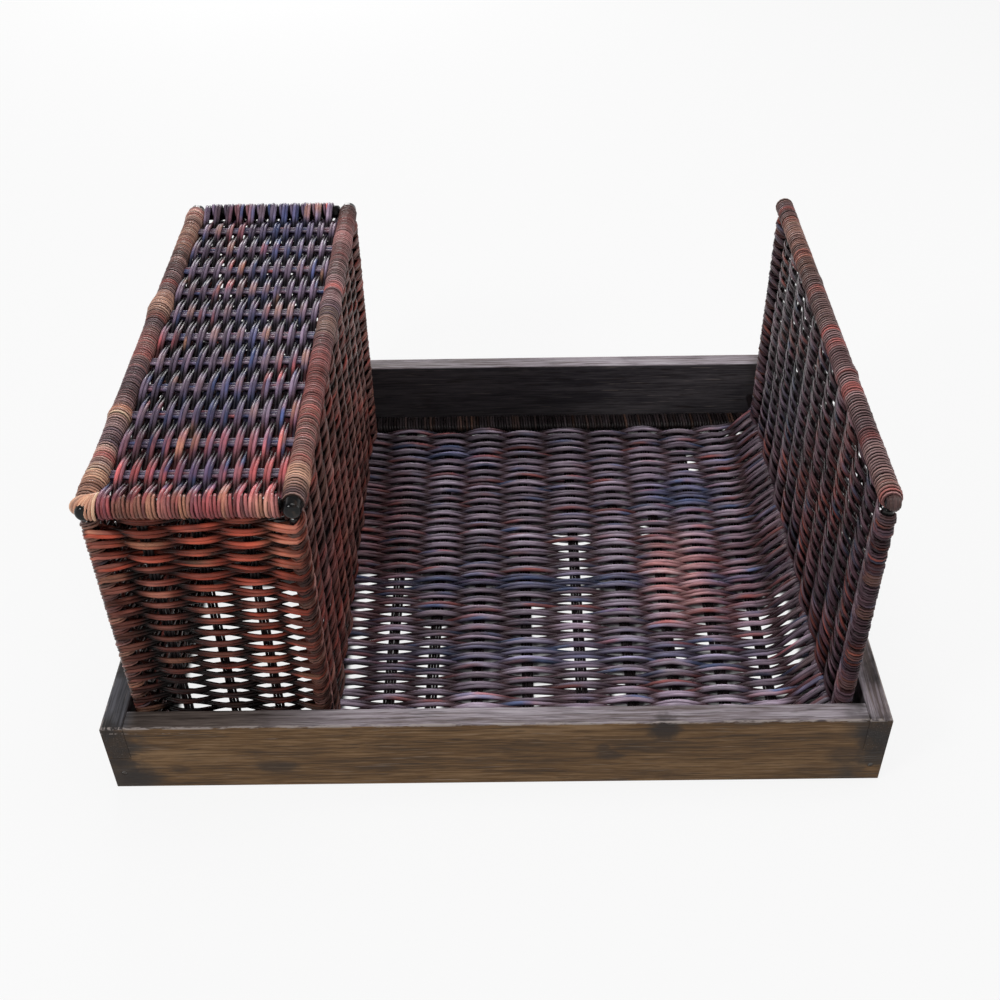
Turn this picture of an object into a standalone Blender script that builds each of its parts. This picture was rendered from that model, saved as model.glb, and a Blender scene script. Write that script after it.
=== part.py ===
"""Rattan caddy: a woven box and a woven side panel over a woven floor, held in a wooden tray frame.

Metres, +Z up. The origin is on the surface that the frame stands on, under the middle of the frame.
+X runs along the long rails from the box to the side panel, and -Y is the front.
"""
import bpy
import bmesh
from math import cos, pi, sin
from mathutils import Matrix, Vector

# Wooden frame
TRAY_WIDTH = 0.620
TRAY_DEPTH = 0.512
RAIL_HEIGHT = 0.073
RAIL_STOCK = 0.018
RAIL_ROUND = 0.0014
FINGER_SHARE = 0.5

# Woven body
BOX_WIDTH = 0.144
TOP_LEVEL = 0.2775
FLOOR_LEVEL = 0.0058
PANEL_FOOT_LEVEL = 0.030
LEFT_ROOM = 0.0037
RIGHT_ROOM = 0.0072
BOX_BACK_ROOM = 0.0281
PANEL_BACK_ROOM = 0.0371
EDGE_SHARE = 0.822

# Rods, strands and bindings
POLE_RADIUS = 0.0060
POST_RADIUS = 0.0045
FOOT_RADIUS = 0.0045
BORDER_RADIUS = 0.0034
STRAND = 0.0030
PEEL = 0.0011
STAKE_WIDTH = 0.0076
TOP_STAKE_WIDTH = 0.0090
FLOOR_STAKE_WIDTH = 0.0104
STAKE_THICKNESS = 0.0032
ROW_PITCH = 0.0060
WEAVE_CORE = 0.0058
WEAVE_SKIN = 0.0006
POLE_END_ROUND = 0.0018
BARE_END = 0.0096

# Nails
NAIL_RADIUS = 0.0010
NAIL_HEAD_RADIUS = 0.0022
NAIL_HEAD_DEPTH = 0.0010
CORNER_NAIL_LENGTH = 0.034
BORDER_NAIL_GRIP = 0.010
NAIL_ROOM = 0.0020
NAIL_BAYS = (1, 5, 8)

# Counts and clearances
SIDE_STAKES = 11
FRONT_STAKES = 3
FLOOR_STAKES = 9
PANEL_STAKES = 11
BORDER_RODS = 3
GAP = 0.0003
OVERRUN = 0.0040
ROUND_SIDES = 12
NAIL_SIDES = 8
STAKE_SIDES = 4
EDGE_STEPS = 3
EDGE_FLIP = 1

# Sizes that follow
INNER_X = TRAY_WIDTH / 2 - RAIL_STOCK
INNER_Y = TRAY_DEPTH / 2 - RAIL_STOCK
WEAVE = STAKE_THICKNESS + 2 * STRAND
VALLEY = STAKE_THICKNESS / 2 + GAP + WEAVE_SKIN
POST_WRAP = POST_RADIUS + GAP + STRAND
POLE_WRAP = POLE_RADIUS + GAP + PEEL
BORDER_WRAP = BORDER_RADIUS + GAP + PEEL
BORDER_STEP = 2 * BORDER_RADIUS + GAP
LEFT_LINE = LEFT_ROOM + POST_WRAP - INNER_X
RIGHT_LINE = LEFT_LINE + BOX_WIDTH
PANEL_LINE = INNER_X - RIGHT_ROOM - POST_WRAP
FRONT_LINE = GAP + POST_WRAP - INNER_Y
BACK_LINE = INNER_Y - BOX_BACK_ROOM - POST_WRAP
PANEL_BACK_LINE = INNER_Y - PANEL_BACK_ROOM - POST_WRAP
BOX_DEPTH = BACK_LINE - FRONT_LINE
PANEL_DEPTH = PANEL_BACK_LINE - FRONT_LINE
DIVIDER_LINE = (FRONT_LINE + BACK_LINE) / 2
BORDER_OUTER = INNER_Y - GAP - BORDER_WRAP
BORDER_INNER = BORDER_OUTER - (BORDER_RODS - 1) * BORDER_STEP
BORDER_FRONT = BORDER_INNER - BORDER_WRAP
FLOOR_ROD_LINE = GAP + FOOT_RADIUS - INNER_Y
FOOT_TOP = FLOOR_LEVEL + FOOT_RADIUS + GAP
PANEL_FOOT_TOP = PANEL_FOOT_LEVEL + FOOT_RADIUS + GAP
WALL_TOP = TOP_LEVEL - POLE_WRAP - GAP
FLOOR_STEP = (PANEL_LINE - RIGHT_LINE) / (FLOOR_STAKES + 1)
FLOOR_END = PANEL_LINE - FLOOR_STEP * EDGE_SHARE

# Unit directions
X = Vector((1, 0, 0))
Y = Vector((0, 1, 0))
Z = Vector((0, 0, 1))

# Name, colour, roughness, metallic
FINISHES = {
    "stained_wood": ((0.135, 0.092, 0.058), 0.55, 0.0),
    "rattan_weave": ((0.085, 0.036, 0.034), 0.38, 0.0),
    "rattan_peel": ((0.200, 0.085, 0.055), 0.36, 0.0),
    "rattan_pole": ((0.012, 0.011, 0.012), 0.18, 0.0),
    "nail_steel": ((0.180, 0.170, 0.160), 0.45, 0.9),
}


def clear_scene():
    """Empty the open scene."""
    for thing in list(bpy.data.objects):
        bpy.data.objects.remove(thing, do_unlink=True)


def make_material(name):
    """A Principled material from the table of finishes."""
    colour, roughness, metallic = FINISHES[name]
    material = bpy.data.materials.new(name)
    material.use_nodes = True
    shader = material.node_tree.nodes["Principled BSDF"]
    shader.inputs["Base Color"].default_value = (*colour, 1.0)
    shader.inputs["Roughness"].default_value = roughness
    shader.inputs["Metallic"].default_value = metallic
    return material


def make_object(name, bm, finish, smooth=True):
    """Turn a bmesh into a named object with its own copy of a finish."""
    bmesh.ops.recalc_face_normals(bm, faces=bm.faces)
    mesh = bpy.data.meshes.new(name)
    bm.to_mesh(mesh)
    bm.free()
    if smooth:
        mesh.shade_smooth()
        mesh.set_sharp_from_angle(angle=pi / 5)
    thing = bpy.data.objects.new(name, mesh)
    bpy.context.scene.collection.objects.link(thing)
    if finish:
        mesh.materials.append(make_material(finish))
    return thing


def make_tool(name, bm):
    """A hidden shape that a Boolean reads."""
    tool = make_object(name, bm, None, smooth=False)
    tool.hide_render = True
    tool.display_type = "WIRE"
    return tool


def cut(thing, tool, operation="DIFFERENCE"):
    """Put a Boolean on an object."""
    boolean = thing.modifiers.new(tool.name, "BOOLEAN")
    boolean.operation = operation
    boolean.solver = "EXACT"
    boolean.object = tool


def extrude_section(bm, section, start, run, up, length):
    """Extrude a closed section, given across and upward, from a point along a direction."""
    side = up.cross(run)
    corners = [bm.verts.new(start + side * across + up * height) for across, height in section]
    face = bm.faces.new(corners)
    grown = bmesh.ops.extrude_face_region(bm, geom=[face])
    moved = [part for part in grown["geom"] if isinstance(part, bmesh.types.BMVert)]
    bmesh.ops.translate(bm, verts=moved, vec=run * length)


def add_round(bm, start, run, length, radius):
    """A round hole's core from a point along a direction."""
    turn = run.to_track_quat("Z", "Y").to_matrix().to_4x4()
    place = Matrix.Translation(start + run * length / 2) @ turn
    bmesh.ops.create_cone(
        bm, cap_ends=True, segments=NAIL_SIDES, radius1=radius, radius2=radius, depth=length,
        matrix=place,
    )


def turned(name, finish, start, run, profile, sides=ROUND_SIDES):
    """Turn a profile, a list of radius and distance along the axis, into a closed round piece."""
    bm = bmesh.new()
    turn = run.to_track_quat("Z", "Y").to_matrix().to_4x4()
    points = [bm.verts.new((radius, 0, along)) for radius, along in profile]
    edges = [bm.edges.new(pair) for pair in zip(points, points[1:])]
    if profile[0][0] > 0:
        edges.append(bm.edges.new((points[-1], points[0])))
    bmesh.ops.spin(
        bm, geom=points + edges, cent=(0, 0, 0), axis=(0, 0, 1),
        angle=2 * pi, steps=sides, use_merge=True,
    )
    bmesh.ops.remove_doubles(bm, verts=bm.verts, dist=GAP / 100)
    bmesh.ops.transform(bm, matrix=Matrix.Translation(start) @ turn, verts=bm.verts)
    return make_object(name, bm, finish)


def rod(name, start, run, length, radius):
    """A rattan rod with softened ends."""
    soft = min(POLE_END_ROUND, radius / 2)
    profile = [
        (0, 0), (radius - soft, 0), (radius, soft),
        (radius, length - soft), (radius - soft, length), (0, length),
    ]
    return turned(name, "rattan_pole", start, run, profile)


def sleeve(name, start, run, length, inner, outer, finish="rattan_peel"):
    """A binding of many close turns, as a tube round the rod that it covers."""
    profile = [(inner, 0), (outer, 0), (outer, length), (inner, length)]
    return turned(name, finish, start, run, profile)


def round_ended(spread, radius, sides):
    """A flat section with round ends, whose centres lie at the spread to each side."""
    section = []
    for end in (1, -1):
        for step in range(sides // 2 + 1):
            turn = 2 * pi * step / sides - pi / 2
            section.append((end * (spread + radius * cos(turn)), end * radius * sin(turn)))
    return section


def add_stakes(bm, places, run, up, length, width, grow=0):
    """Add a row of stakes, each of thin rods side by side, and each starting at its place."""
    spread = (width - STAKE_THICKNESS) / 2
    section = round_ended(spread, STAKE_THICKNESS / 2 + grow, STAKE_SIDES)
    for place in places:
        extrude_section(bm, section, place - run * grow, run, up, length + 2 * grow)


def stake_places(first, step, count):
    """Evenly spaced starting points."""
    return [first + step * (number + 1) for number in range(count)]


def comb(name, rod_start, rod_run, rod_length, radius, places, run, up, length, width=STAKE_WIDTH):
    """A rod and the stakes that grow from it, as one body."""
    body = rod(name, rod_start, rod_run, rod_length, radius)
    bm = bmesh.new()
    add_stakes(bm, places, run, up, length, width)
    cut(body, make_tool(name + "_stakes", bm), "UNION")
    return body


def weave_section(height):
    """The waved section of a woven wall: rows pass before and behind the stakes in turn."""
    pairs = max(1, round(height / (2 * ROW_PITCH)))
    wave = height / pairs
    front, back = [(0, WEAVE_CORE / 2)], [(0, -WEAVE_CORE / 2)]
    for number in range(pairs):
        low = number * wave
        front += [(low + wave / 4, WEAVE / 2), (low + wave * 3 / 4, WEAVE_CORE / 2)]
        back += [(low + wave / 4, -WEAVE_CORE / 2), (low + wave * 3 / 4, -WEAVE / 2)]
    front.append((height, WEAVE_CORE / 2))
    back.append((height, -WEAVE_CORE / 2))
    return front + back[::-1]


def woven_wall(name, corner, run, rows, length, height, places, stake_run, width=STAKE_WIDTH):
    """A woven wall with a channel for each stake. Its rows run along run and pile up along rows."""
    normal = run.cross(rows)
    bm = bmesh.new()
    extrude_section(bm, weave_section(height), corner, run, normal, length)
    bmesh.ops.triangulate(bm, faces=[side for side in bm.faces if len(side.verts) > 4])
    return channelled(name, bm, places, stake_run, normal, height, width)


def basket_section(height, flip, flat_back):
    """The section of a basket wall at one stake: each row passes before or behind the stake."""
    rows = 2 * max(1, round(height / (2 * ROW_PITCH)))
    front, back = [(0, VALLEY)], [(0, -VALLEY)]
    for number in range(rows):
        place = height * (number + 1 / 2) / rows
        before = number % 2 == flip
        front.append((place, WEAVE / 2 if before else VALLEY))
        if not flat_back:
            back.append((place, -VALLEY if before else -WEAVE / 2))
    return front + [(height, VALLEY), (height, -VALLEY)] + back[::-1]


def loft(bm, rings):
    """Skin a list of closed rings of points and cap both ends. Folds run through the low corners."""
    made = [[bm.verts.new(point) for point, off in ring] for ring in rings]
    for before, after, ring in zip(made, made[1:], rings):
        heights = [abs(off) for point, off in ring]
        for (low, high), (far_low, far_high), (first, second) in zip(
            closed_pairs(before), closed_pairs(after), closed_pairs(heights)
        ):
            if first > second:
                bm.faces.new((low, high, far_low))
                bm.faces.new((high, far_high, far_low))
            else:
                bm.faces.new((low, high, far_high))
                bm.faces.new((low, far_high, far_low))
    bmesh.ops.triangulate(bm, faces=[bm.faces.new(made[0]), bm.faces.new(made[-1])])


def basket_wall(name, corner, run, rows, length, height, places, stake_run, width, first, flat_back):
    """A woven wall with its over and under relief, lofted from stake to stake, and its channels."""
    normal = run.cross(rows)
    stops = [0] + [(place - corner).dot(run) for place in places] + [length]
    rings = []
    for number, along in enumerate(stops):
        section = basket_section(height, (number + first) % 2, flat_back)
        rings.append([(corner + run * along + rows * up + normal * off, off) for up, off in section])
    bm = bmesh.new()
    loft(bm, rings)
    return channelled(name, bm, places, stake_run, normal, height, width)


def channelled(name, bm, places, stake_run, normal, height, width):
    """A woven wall with a channel cut for each stake."""
    wall = make_object(name, bm, "rattan_weave")
    tool = bmesh.new()
    starts = [place - stake_run * OVERRUN for place in places]
    add_stakes(tool, starts, stake_run, normal, height + 2 * OVERRUN, width, GAP)
    cut(wall, make_tool(name + "_channels", tool))
    return wall


def nail(name, head, run, length):
    """A round nail. The head's outer face is at the given point."""
    profile = [
        (0, 0), (NAIL_HEAD_RADIUS, 0), (NAIL_HEAD_RADIUS, NAIL_HEAD_DEPTH),
        (NAIL_RADIUS, NAIL_HEAD_DEPTH), (NAIL_RADIUS, length - NAIL_RADIUS), (0, length),
    ]
    return turned(name, "nail_steel", head, run, profile, NAIL_SIDES)


def nail_hole(name, head, run, length, sunk):
    """The hollow that clears a nail, with room for its head where that is sunk."""
    radius, depth = (NAIL_HEAD_RADIUS, NAIL_HEAD_DEPTH) if sunk else (NAIL_RADIUS, length)
    bm = bmesh.new()
    add_round(bm, head - run * OVERRUN, run, OVERRUN + depth + GAP, radius + GAP)
    return make_tool(name, bm)


def rail_outline(length, finger_low):
    """A rail seen from its side: one half of each end runs on through the corner."""
    half = length / 2
    short = half - RAIL_STOCK - GAP
    split = RAIL_HEIGHT * FINGER_SHARE
    low, high = (half, short) if finger_low else (short, half)
    low_top = split - GAP / 2
    high_foot = split + GAP / 2
    shelf = low_top if finger_low else high_foot
    return [
        (-low, 0), (low, 0), (low, shelf), (high, shelf),
        (high, RAIL_HEIGHT), (-high, RAIL_HEIGHT), (-high, shelf), (-low, shelf),
    ]


def rail(name, centre, run, length, finger_low):
    """One rail of the frame, with its finger at each end and worn edges."""
    bm = bmesh.new()
    through = run.cross(Z)
    start = centre - through * RAIL_STOCK / 2
    extrude_section(bm, rail_outline(length, finger_low), start, through, Z, RAIL_STOCK)
    bmesh.ops.recalc_face_normals(bm, faces=bm.faces)
    long_edges = [
        edge for edge in bm.edges
        if abs((edge.verts[1].co - edge.verts[0].co).normalized().dot(run)) > cos(pi / 6)
        and abs(edge.verts[0].co.z - RAIL_HEIGHT * FINGER_SHARE) > GAP
    ]
    bmesh.ops.bevel(
        bm, geom=long_edges, offset=RAIL_ROUND, offset_type="OFFSET", segments=2,
        profile=0.5, affect="EDGES", material=-1, clamp_overlap=True,
    )
    return make_object(name, bm, "stained_wood", smooth=False)


def build_frame():
    """Four rails with finger joints, each corner pinned by one nail."""
    front = -(TRAY_DEPTH - RAIL_STOCK) / 2 * Y
    side = (TRAY_WIDTH - RAIL_STOCK) / 2 * X
    rails = {
        "rail_front": rail("rail_front", front, X, TRAY_WIDTH, True),
        "rail_back": rail("rail_back", -front, X, TRAY_WIDTH, True),
        "rail_left": rail("rail_left", -side, Y, TRAY_DEPTH, False),
        "rail_right": rail("rail_right", side, Y, TRAY_DEPTH, False),
    }
    nail_level = RAIL_HEIGHT * FINGER_SHARE / 2
    for end, facing in (("front", 1), ("back", -1)):
        for hand, sign in (("left", -1), ("right", 1)):
            name = f"corner_nail_{end}_{hand}"
            run = Y * facing
            head = side * sign - run * (TRAY_DEPTH / 2 - GAP) + Z * nail_level
            nail(name, head, run, CORNER_NAIL_LENGTH)
            for part in (rails["rail_" + end], rails["rail_" + hand]):
                cut(part, nail_hole(name + "_" + part.name, head, run, CORNER_NAIL_LENGTH, False))
            cut(rails["rail_" + end], nail_hole(name + "_seat", head, run, CORNER_NAIL_LENGTH, True))
    return rails


def build_floor(rails):
    """The floor: border rods, stakes, weave, the edge that climbs to the panel, and nails."""
    level = Z * FLOOR_LEVEL
    span = 2 * (INNER_X - GAP)
    border_rods = []
    for number in range(BORDER_RODS):
        start = -X * (INNER_X - GAP) + Y * (BORDER_OUTER - number * BORDER_STEP) + level
        border_rods.append(rod(f"floor_border_rod_{number + 1}", start, X, span, BORDER_RADIUS))
    binding = border_band(span)
    rod_start = X * (RIGHT_LINE + FOOT_RADIUS + GAP) + Y * FLOOR_ROD_LINE + level
    rod_length = INNER_X - GAP - rod_start.x
    places = stake_places(X * RIGHT_LINE + Y * FLOOR_ROD_LINE + level, X * FLOOR_STEP, FLOOR_STAKES)
    reach = BORDER_FRONT - GAP - FLOOR_ROD_LINE
    front_rod = comb(
        "floor_stakes", rod_start, X, rod_length, FOOT_RADIUS, places, Y, Z, reach, FLOOR_STAKE_WIDTH,
    )
    near = FLOOR_ROD_LINE + FOOT_RADIUS + NAIL_ROOM
    far = BORDER_FRONT - NAIL_ROOM
    corner = X * rod_start.x + Y * near + level
    basket_wall(
        "floor_weave", corner, X, Y, FLOOR_END - GAP / 2 - rod_start.x, far - near,
        [place + Y * (near - FLOOR_ROD_LINE) for place in places], Y, FLOOR_STAKE_WIDTH, 0, True,
    )
    build_floor_edge(near, far)
    depth = RAIL_STOCK - BORDER_NAIL_GRIP
    for number, bay in enumerate(NAIL_BAYS, 1):
        across = X * (RIGHT_LINE + (bay + 1 / 2) * FLOOR_STEP) + level
        head = across + Y * (FLOOR_ROD_LINE + FOOT_RADIUS + GAP + NAIL_HEAD_DEPTH)
        length = head.y + INNER_Y + RAIL_STOCK - depth
        drive(f"border_nail_front_{number}", head, -Y, length, [front_rod, rails["rail_front"]])
        head = across + Y * (BORDER_FRONT - GAP - NAIL_HEAD_DEPTH)
        length = INNER_Y + RAIL_STOCK - depth - head.y
        pierced = [binding, rails["rail_back"]] + border_rods
        drive(f"border_nail_back_{number}", head, Y, length, pierced)


def drive(name, head, run, length, pierced):
    """A nail and its hole in every piece that it goes through."""
    nail(name, head, run, length)
    for part in pierced:
        cut(part, nail_hole(name + "_" + part.name, head, run, length, False))


def border_band(span):
    """The flat binding round the border rods at the back of the floor."""
    spread = (BORDER_RODS - 1) * BORDER_STEP / 2
    middle = (BORDER_OUTER + BORDER_INNER) / 2
    start = -X * (INNER_X - GAP) + Y * middle + Z * FLOOR_LEVEL
    bm = bmesh.new()
    extrude_section(bm, round_ended(spread, BORDER_WRAP, ROUND_SIDES), start, X, Z, span)
    band = make_object("floor_binding_back", bm, "rattan_peel")
    bm = bmesh.new()
    inside = round_ended(spread, BORDER_RADIUS + GAP, ROUND_SIDES)
    extrude_section(bm, inside, start - X * OVERRUN, X, Z, span + 2 * OVERRUN)
    cut(band, make_tool("floor_binding_bore", bm))
    return band


def build_floor_edge(near, far):
    """The strip where the floor's rows climb to the foot of the panel, lofted along the climb."""
    first = FLOOR_END + GAP / 2
    last = PANEL_LINE - FOOT_RADIUS - GAP
    rise = PANEL_FOOT_LEVEL - FLOOR_LEVEL
    rings = []
    for step in range(EDGE_STEPS + 1):
        share = step / EDGE_STEPS
        along = first + (last - first) * share
        level = FLOOR_LEVEL + rise * (1 - cos(pi * share)) / 2
        section = basket_section(far - near, EDGE_FLIP, True)
        rings.append([(Vector((along, near + depth, level + off)), off) for depth, off in section])
    bm = bmesh.new()
    loft(bm, rings)
    make_object("floor_edge_weave", bm, "rattan_weave")


def closed_pairs(row):
    """Neighbours round a closed row of vertices."""
    return list(zip(row, row[1:] + row[:1]))


def build_post(name, across, along, foot, wrap_name):
    """A corner post and the turns of the weave that go round it."""
    start = Vector((across, along, foot))
    rod(name, start, Z, WALL_TOP - foot, POST_RADIUS)
    sleeve(wrap_name, start, Z, WALL_TOP - foot, POST_RADIUS + GAP, POST_WRAP, "rattan_weave")


def side_wall(name, across, back_line, level, foot_ends, count):
    """A wall along Y: a foot rod with its stakes, and the weave round them."""
    foot_top = level + FOOT_RADIUS + GAP
    rod_start = Vector((across, foot_ends[0], level))
    step = (back_line - FRONT_LINE) / (count + 1)
    places = stake_places(Vector((across, FRONT_LINE, level)), Y * step, count)
    rod_length = foot_ends[1] - foot_ends[0]
    reach = WALL_TOP - level
    comb(name + "_stakes", rod_start, Y, rod_length, FOOT_RADIUS, places, Z, X, reach)
    near = FRONT_LINE + POST_WRAP + GAP
    far = back_line - POST_WRAP - GAP
    woven_wall(
        name + "_weave", Vector((across, near, foot_top)), Y, Z, far - near, WALL_TOP - foot_top,
        [place + Z * (foot_top - level) for place in places], Z,
    )


def cross_wall(name, along, room, stake_top):
    """A wall along X between the box's sides: a foot rod with its stakes, and the weave."""
    left = LEFT_LINE + FOOT_RADIUS + GAP
    right = RIGHT_LINE - FOOT_RADIUS - GAP
    step = X * BOX_WIDTH / (FRONT_STAKES + 1)
    places = stake_places(Vector((LEFT_LINE, along, FLOOR_LEVEL)), step, FRONT_STAKES)
    comb(
        name + "_stakes", Vector((left, along, FLOOR_LEVEL)), X, right - left, FOOT_RADIUS,
        places, Z, Y, stake_top - FLOOR_LEVEL,
    )
    corner = Vector((LEFT_LINE + room + GAP, along, FOOT_TOP))
    woven_wall(
        name + "_weave", corner, X, Z, BOX_WIDTH - 2 * (room + GAP), WALL_TOP - FOOT_TOP,
        [place + Z * (FOOT_TOP - FLOOR_LEVEL) for place in places], Z,
    )


def build_box():
    """The woven box: posts, walls, divider, and the top with its rods and bindings."""
    foot_ends = (GAP - INNER_Y, BORDER_FRONT - GAP)
    for hand, across in (("left", LEFT_LINE), ("right", RIGHT_LINE)):
        side_wall("box_" + hand, across, BACK_LINE, FLOOR_LEVEL, foot_ends, SIDE_STAKES)
        for end, along in (("front", FRONT_LINE), ("back", BACK_LINE)):
            build_post(f"box_post_{end}_{hand}", across, along, FOOT_TOP, f"box_corner_{end}_{hand}")
    cross_wall("box_front", FRONT_LINE, POST_WRAP, WALL_TOP)
    cross_wall("box_back", BACK_LINE, POST_WRAP, WALL_TOP)
    cross_wall("divider", DIVIDER_LINE, WEAVE / 2, TOP_LEVEL - WEAVE / 2 - GAP)
    build_top()


def build_top():
    """The top of the box. Its stakes grow from the left rod, through slots in that rod's binding."""
    level = Z * TOP_LEVEL
    front_end = FRONT_LINE - POST_WRAP
    rod_length = BOX_DEPTH + 2 * POST_WRAP
    step = Y * BOX_DEPTH / (SIDE_STAKES + 1)
    places = stake_places(X * LEFT_LINE + Y * FRONT_LINE + level, step, SIDE_STAKES)
    reach = BOX_WIDTH - POLE_WRAP - GAP
    comb(
        "box_top_stakes", X * LEFT_LINE + Y * front_end + level, Y, rod_length, POLE_RADIUS,
        places, X, Z, reach, TOP_STAKE_WIDTH,
    )
    rod("box_top_rod_right", X * RIGHT_LINE + Y * front_end + level, Y, rod_length, POLE_RADIUS)
    bound = rod_length - 2 * BARE_END
    for hand, across in (("left", LEFT_LINE), ("right", RIGHT_LINE)):
        start = X * across + Y * (front_end + BARE_END) + level
        binding = sleeve(f"box_top_binding_{hand}", start, Y, bound, POLE_RADIUS + GAP, POLE_WRAP)
        if hand == "left":
            bm = bmesh.new()
            add_stakes(bm, places, X, Z, POLE_WRAP + OVERRUN, TOP_STAKE_WIDTH, GAP)
            cut(binding, make_tool("box_top_binding_slots", bm))
    left = LEFT_LINE + POLE_WRAP + GAP
    length = BOX_WIDTH - 2 * (POLE_WRAP + GAP)
    for end, along in (("front", FRONT_LINE), ("back", BACK_LINE)):
        start = X * left + Y * along + level
        rod(f"box_top_rod_{end}", start, X, length, POLE_RADIUS)
        sleeve(f"box_top_wrap_{end}", start, X, length, POLE_RADIUS + GAP, POLE_WRAP, "rattan_weave")
    near = FRONT_LINE + POLE_WRAP + GAP
    far = BACK_LINE - POLE_WRAP - GAP
    woven_wall(
        "box_top_weave", Vector((left, near, TOP_LEVEL)), Y, X, far - near, length,
        [place + X * (left - LEFT_LINE) for place in places], X, TOP_STAKE_WIDTH,
    )


def build_panel():
    """The side panel: its foot rod reaches both long rails, and its top rod is bound."""
    foot_ends = (GAP - INNER_Y, INNER_Y - GAP)
    side_wall("panel", PANEL_LINE, PANEL_BACK_LINE, PANEL_FOOT_LEVEL, foot_ends, PANEL_STAKES)
    for end, along in (("front", FRONT_LINE), ("back", PANEL_BACK_LINE)):
        build_post(f"panel_post_{end}", PANEL_LINE, along, PANEL_FOOT_TOP, f"panel_corner_{end}")
    start = Vector((PANEL_LINE, FRONT_LINE - POST_WRAP, TOP_LEVEL))
    length = PANEL_DEPTH + 2 * POST_WRAP
    rod("panel_top_rod", start, Y, length, POLE_RADIUS)
    sleeve("panel_top_binding", start, Y, length, POLE_RADIUS + GAP, POLE_WRAP)


def main():
    """Build the whole part."""
    clear_scene()
    rails = build_frame()
    build_floor(rails)
    build_box()
    build_panel()


main()
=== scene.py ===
from math import cos, pi, sin

import bmesh
import bpy
import numpy as np
from mathutils import Matrix, Vector


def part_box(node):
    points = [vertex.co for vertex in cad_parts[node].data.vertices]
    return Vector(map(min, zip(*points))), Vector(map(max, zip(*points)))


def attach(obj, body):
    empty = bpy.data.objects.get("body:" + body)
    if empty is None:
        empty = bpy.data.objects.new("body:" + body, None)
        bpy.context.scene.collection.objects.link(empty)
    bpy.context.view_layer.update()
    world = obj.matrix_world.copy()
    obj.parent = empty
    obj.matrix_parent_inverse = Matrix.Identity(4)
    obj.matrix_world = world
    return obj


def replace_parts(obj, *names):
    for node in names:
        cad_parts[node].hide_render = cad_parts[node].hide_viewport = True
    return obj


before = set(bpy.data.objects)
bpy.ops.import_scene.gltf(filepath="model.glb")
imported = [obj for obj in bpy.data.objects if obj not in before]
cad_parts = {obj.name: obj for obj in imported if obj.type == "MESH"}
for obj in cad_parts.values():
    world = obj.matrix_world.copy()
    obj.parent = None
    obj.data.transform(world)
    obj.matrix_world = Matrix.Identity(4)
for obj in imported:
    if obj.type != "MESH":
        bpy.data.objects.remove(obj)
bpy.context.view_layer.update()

# A rattan caddy in its wooden tray frame. Metres, +Z up, -Y is the front.
# The rails, nails, posts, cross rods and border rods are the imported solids. The woven walls, bindings and
# stakes, and the two side rods of the top, are made here in the place of the solids that stand for them.

# Strands and rods
STRAND = 0.00150
STAKE_ROD = 0.00128
TOP_ROD = 0.00150
FOOT_ROD = 0.0031
EDGE_ROD = 0.0042
PEEL = 0.00128
SWING = 0.0029
FLOOR_SWING = 0.0041
OPEN_SWING = 0.0026
ROW_PITCH = 0.0059
TOP_PITCH = 0.0053
PEEL_PITCH = 0.0029
GROUND_ROOM = 0.0002

# Along each next strand the fibre pattern starts this much further on
STRAND_SHIFT = 0.37
# Depth of the strands that belong to no wall or winding
PLAIN_DEPTH = 0.85

# Samples along a strand
BAY_STEPS = 8
TURN_STEPS = 5
COIL_STEPS = 14

# Channels of the dye; the third, SUN, is painted sunlight and not a dye
RED, BLUE, SUN = 0, 1, 2

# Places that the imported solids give
X = Vector((1, 0, 0))
Y = Vector((0, 1, 0))
Z = Vector((0, 0, 1))


def middle(node):
    """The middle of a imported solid's box."""
    low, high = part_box(node)
    return (low + high) / 2


def half_size(node):
    """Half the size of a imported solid's box."""
    low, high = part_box(node)
    return (high - low) / 2


FRONT_LEFT = middle("box_post_front_left")
BACK_RIGHT = middle("box_post_back_right")
PANEL_FRONT = middle("panel_post_front")
PANEL_BACK = middle("panel_post_back")
TOP_LEVEL = middle("box_top_rod_front").z
FLOOR_LEVEL = middle("floor_stakes").z
PANEL_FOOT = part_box("panel_stakes")[0].z + (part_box("floor_stakes")[1].z - FLOOR_LEVEL)
POST = half_size("box_post_front_left").x
POLE = half_size("box_top_rod_front").y
WALL_FOOT, WALL_TOP = (corner.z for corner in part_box("box_front_weave"))
PANEL_WALL_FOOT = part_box("panel_weave")[0].z
FLOOR_NEAR, FLOOR_FAR = (corner.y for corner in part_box("floor_weave"))
LEFT, RIGHT = FRONT_LEFT.x, BACK_RIGHT.x
FRONT, BACK = FRONT_LEFT.y, BACK_RIGHT.y
WIDTH, DEPTH = RIGHT - LEFT, BACK - FRONT
PANEL_X = PANEL_FRONT.x


# Strands

class Line:
    """The middle line of one strand, with its radius, tone, wear and dye at each point.

    Off is the place of the middle line off the wall, and reach is how far the wall's crests stand off,
    both along the normal. Round a rod the normal points outward and off and reach are the strand's own.
    """

    def __init__(self, points, radius, tone, wear=0.0, dye=None, off=0.0, normal=(0, 0, 1), reach=0.0):
        count = len(points)
        self.points = np.asarray(points, float)
        self.radius = np.ones(count) * radius
        self.tone = np.clip(np.ones(count) * tone, 0, 1)
        self.wear = np.clip(np.ones(count) * wear, 0, 1)
        # The dye's SUN channel is painted sunlight
        self.dye = np.zeros((count, 3)) if dye is None else np.clip(dye, 0, 1)
        self.off = np.ones(count) * off
        self.normal = np.ones((count, 1)) * np.asarray(normal, float)
        self.reach = np.ones(count) * reach


def drift(rng, places, size, run):
    """A smooth random drift over places, with about one swell in each run."""
    total = np.zeros(len(places))
    for share, stretch in ((0.6, 1.0), (0.4, 0.43)):
        total += share * np.sin(2 * pi * (places / (run * stretch) + rng.random()))
    return size * total


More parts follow.
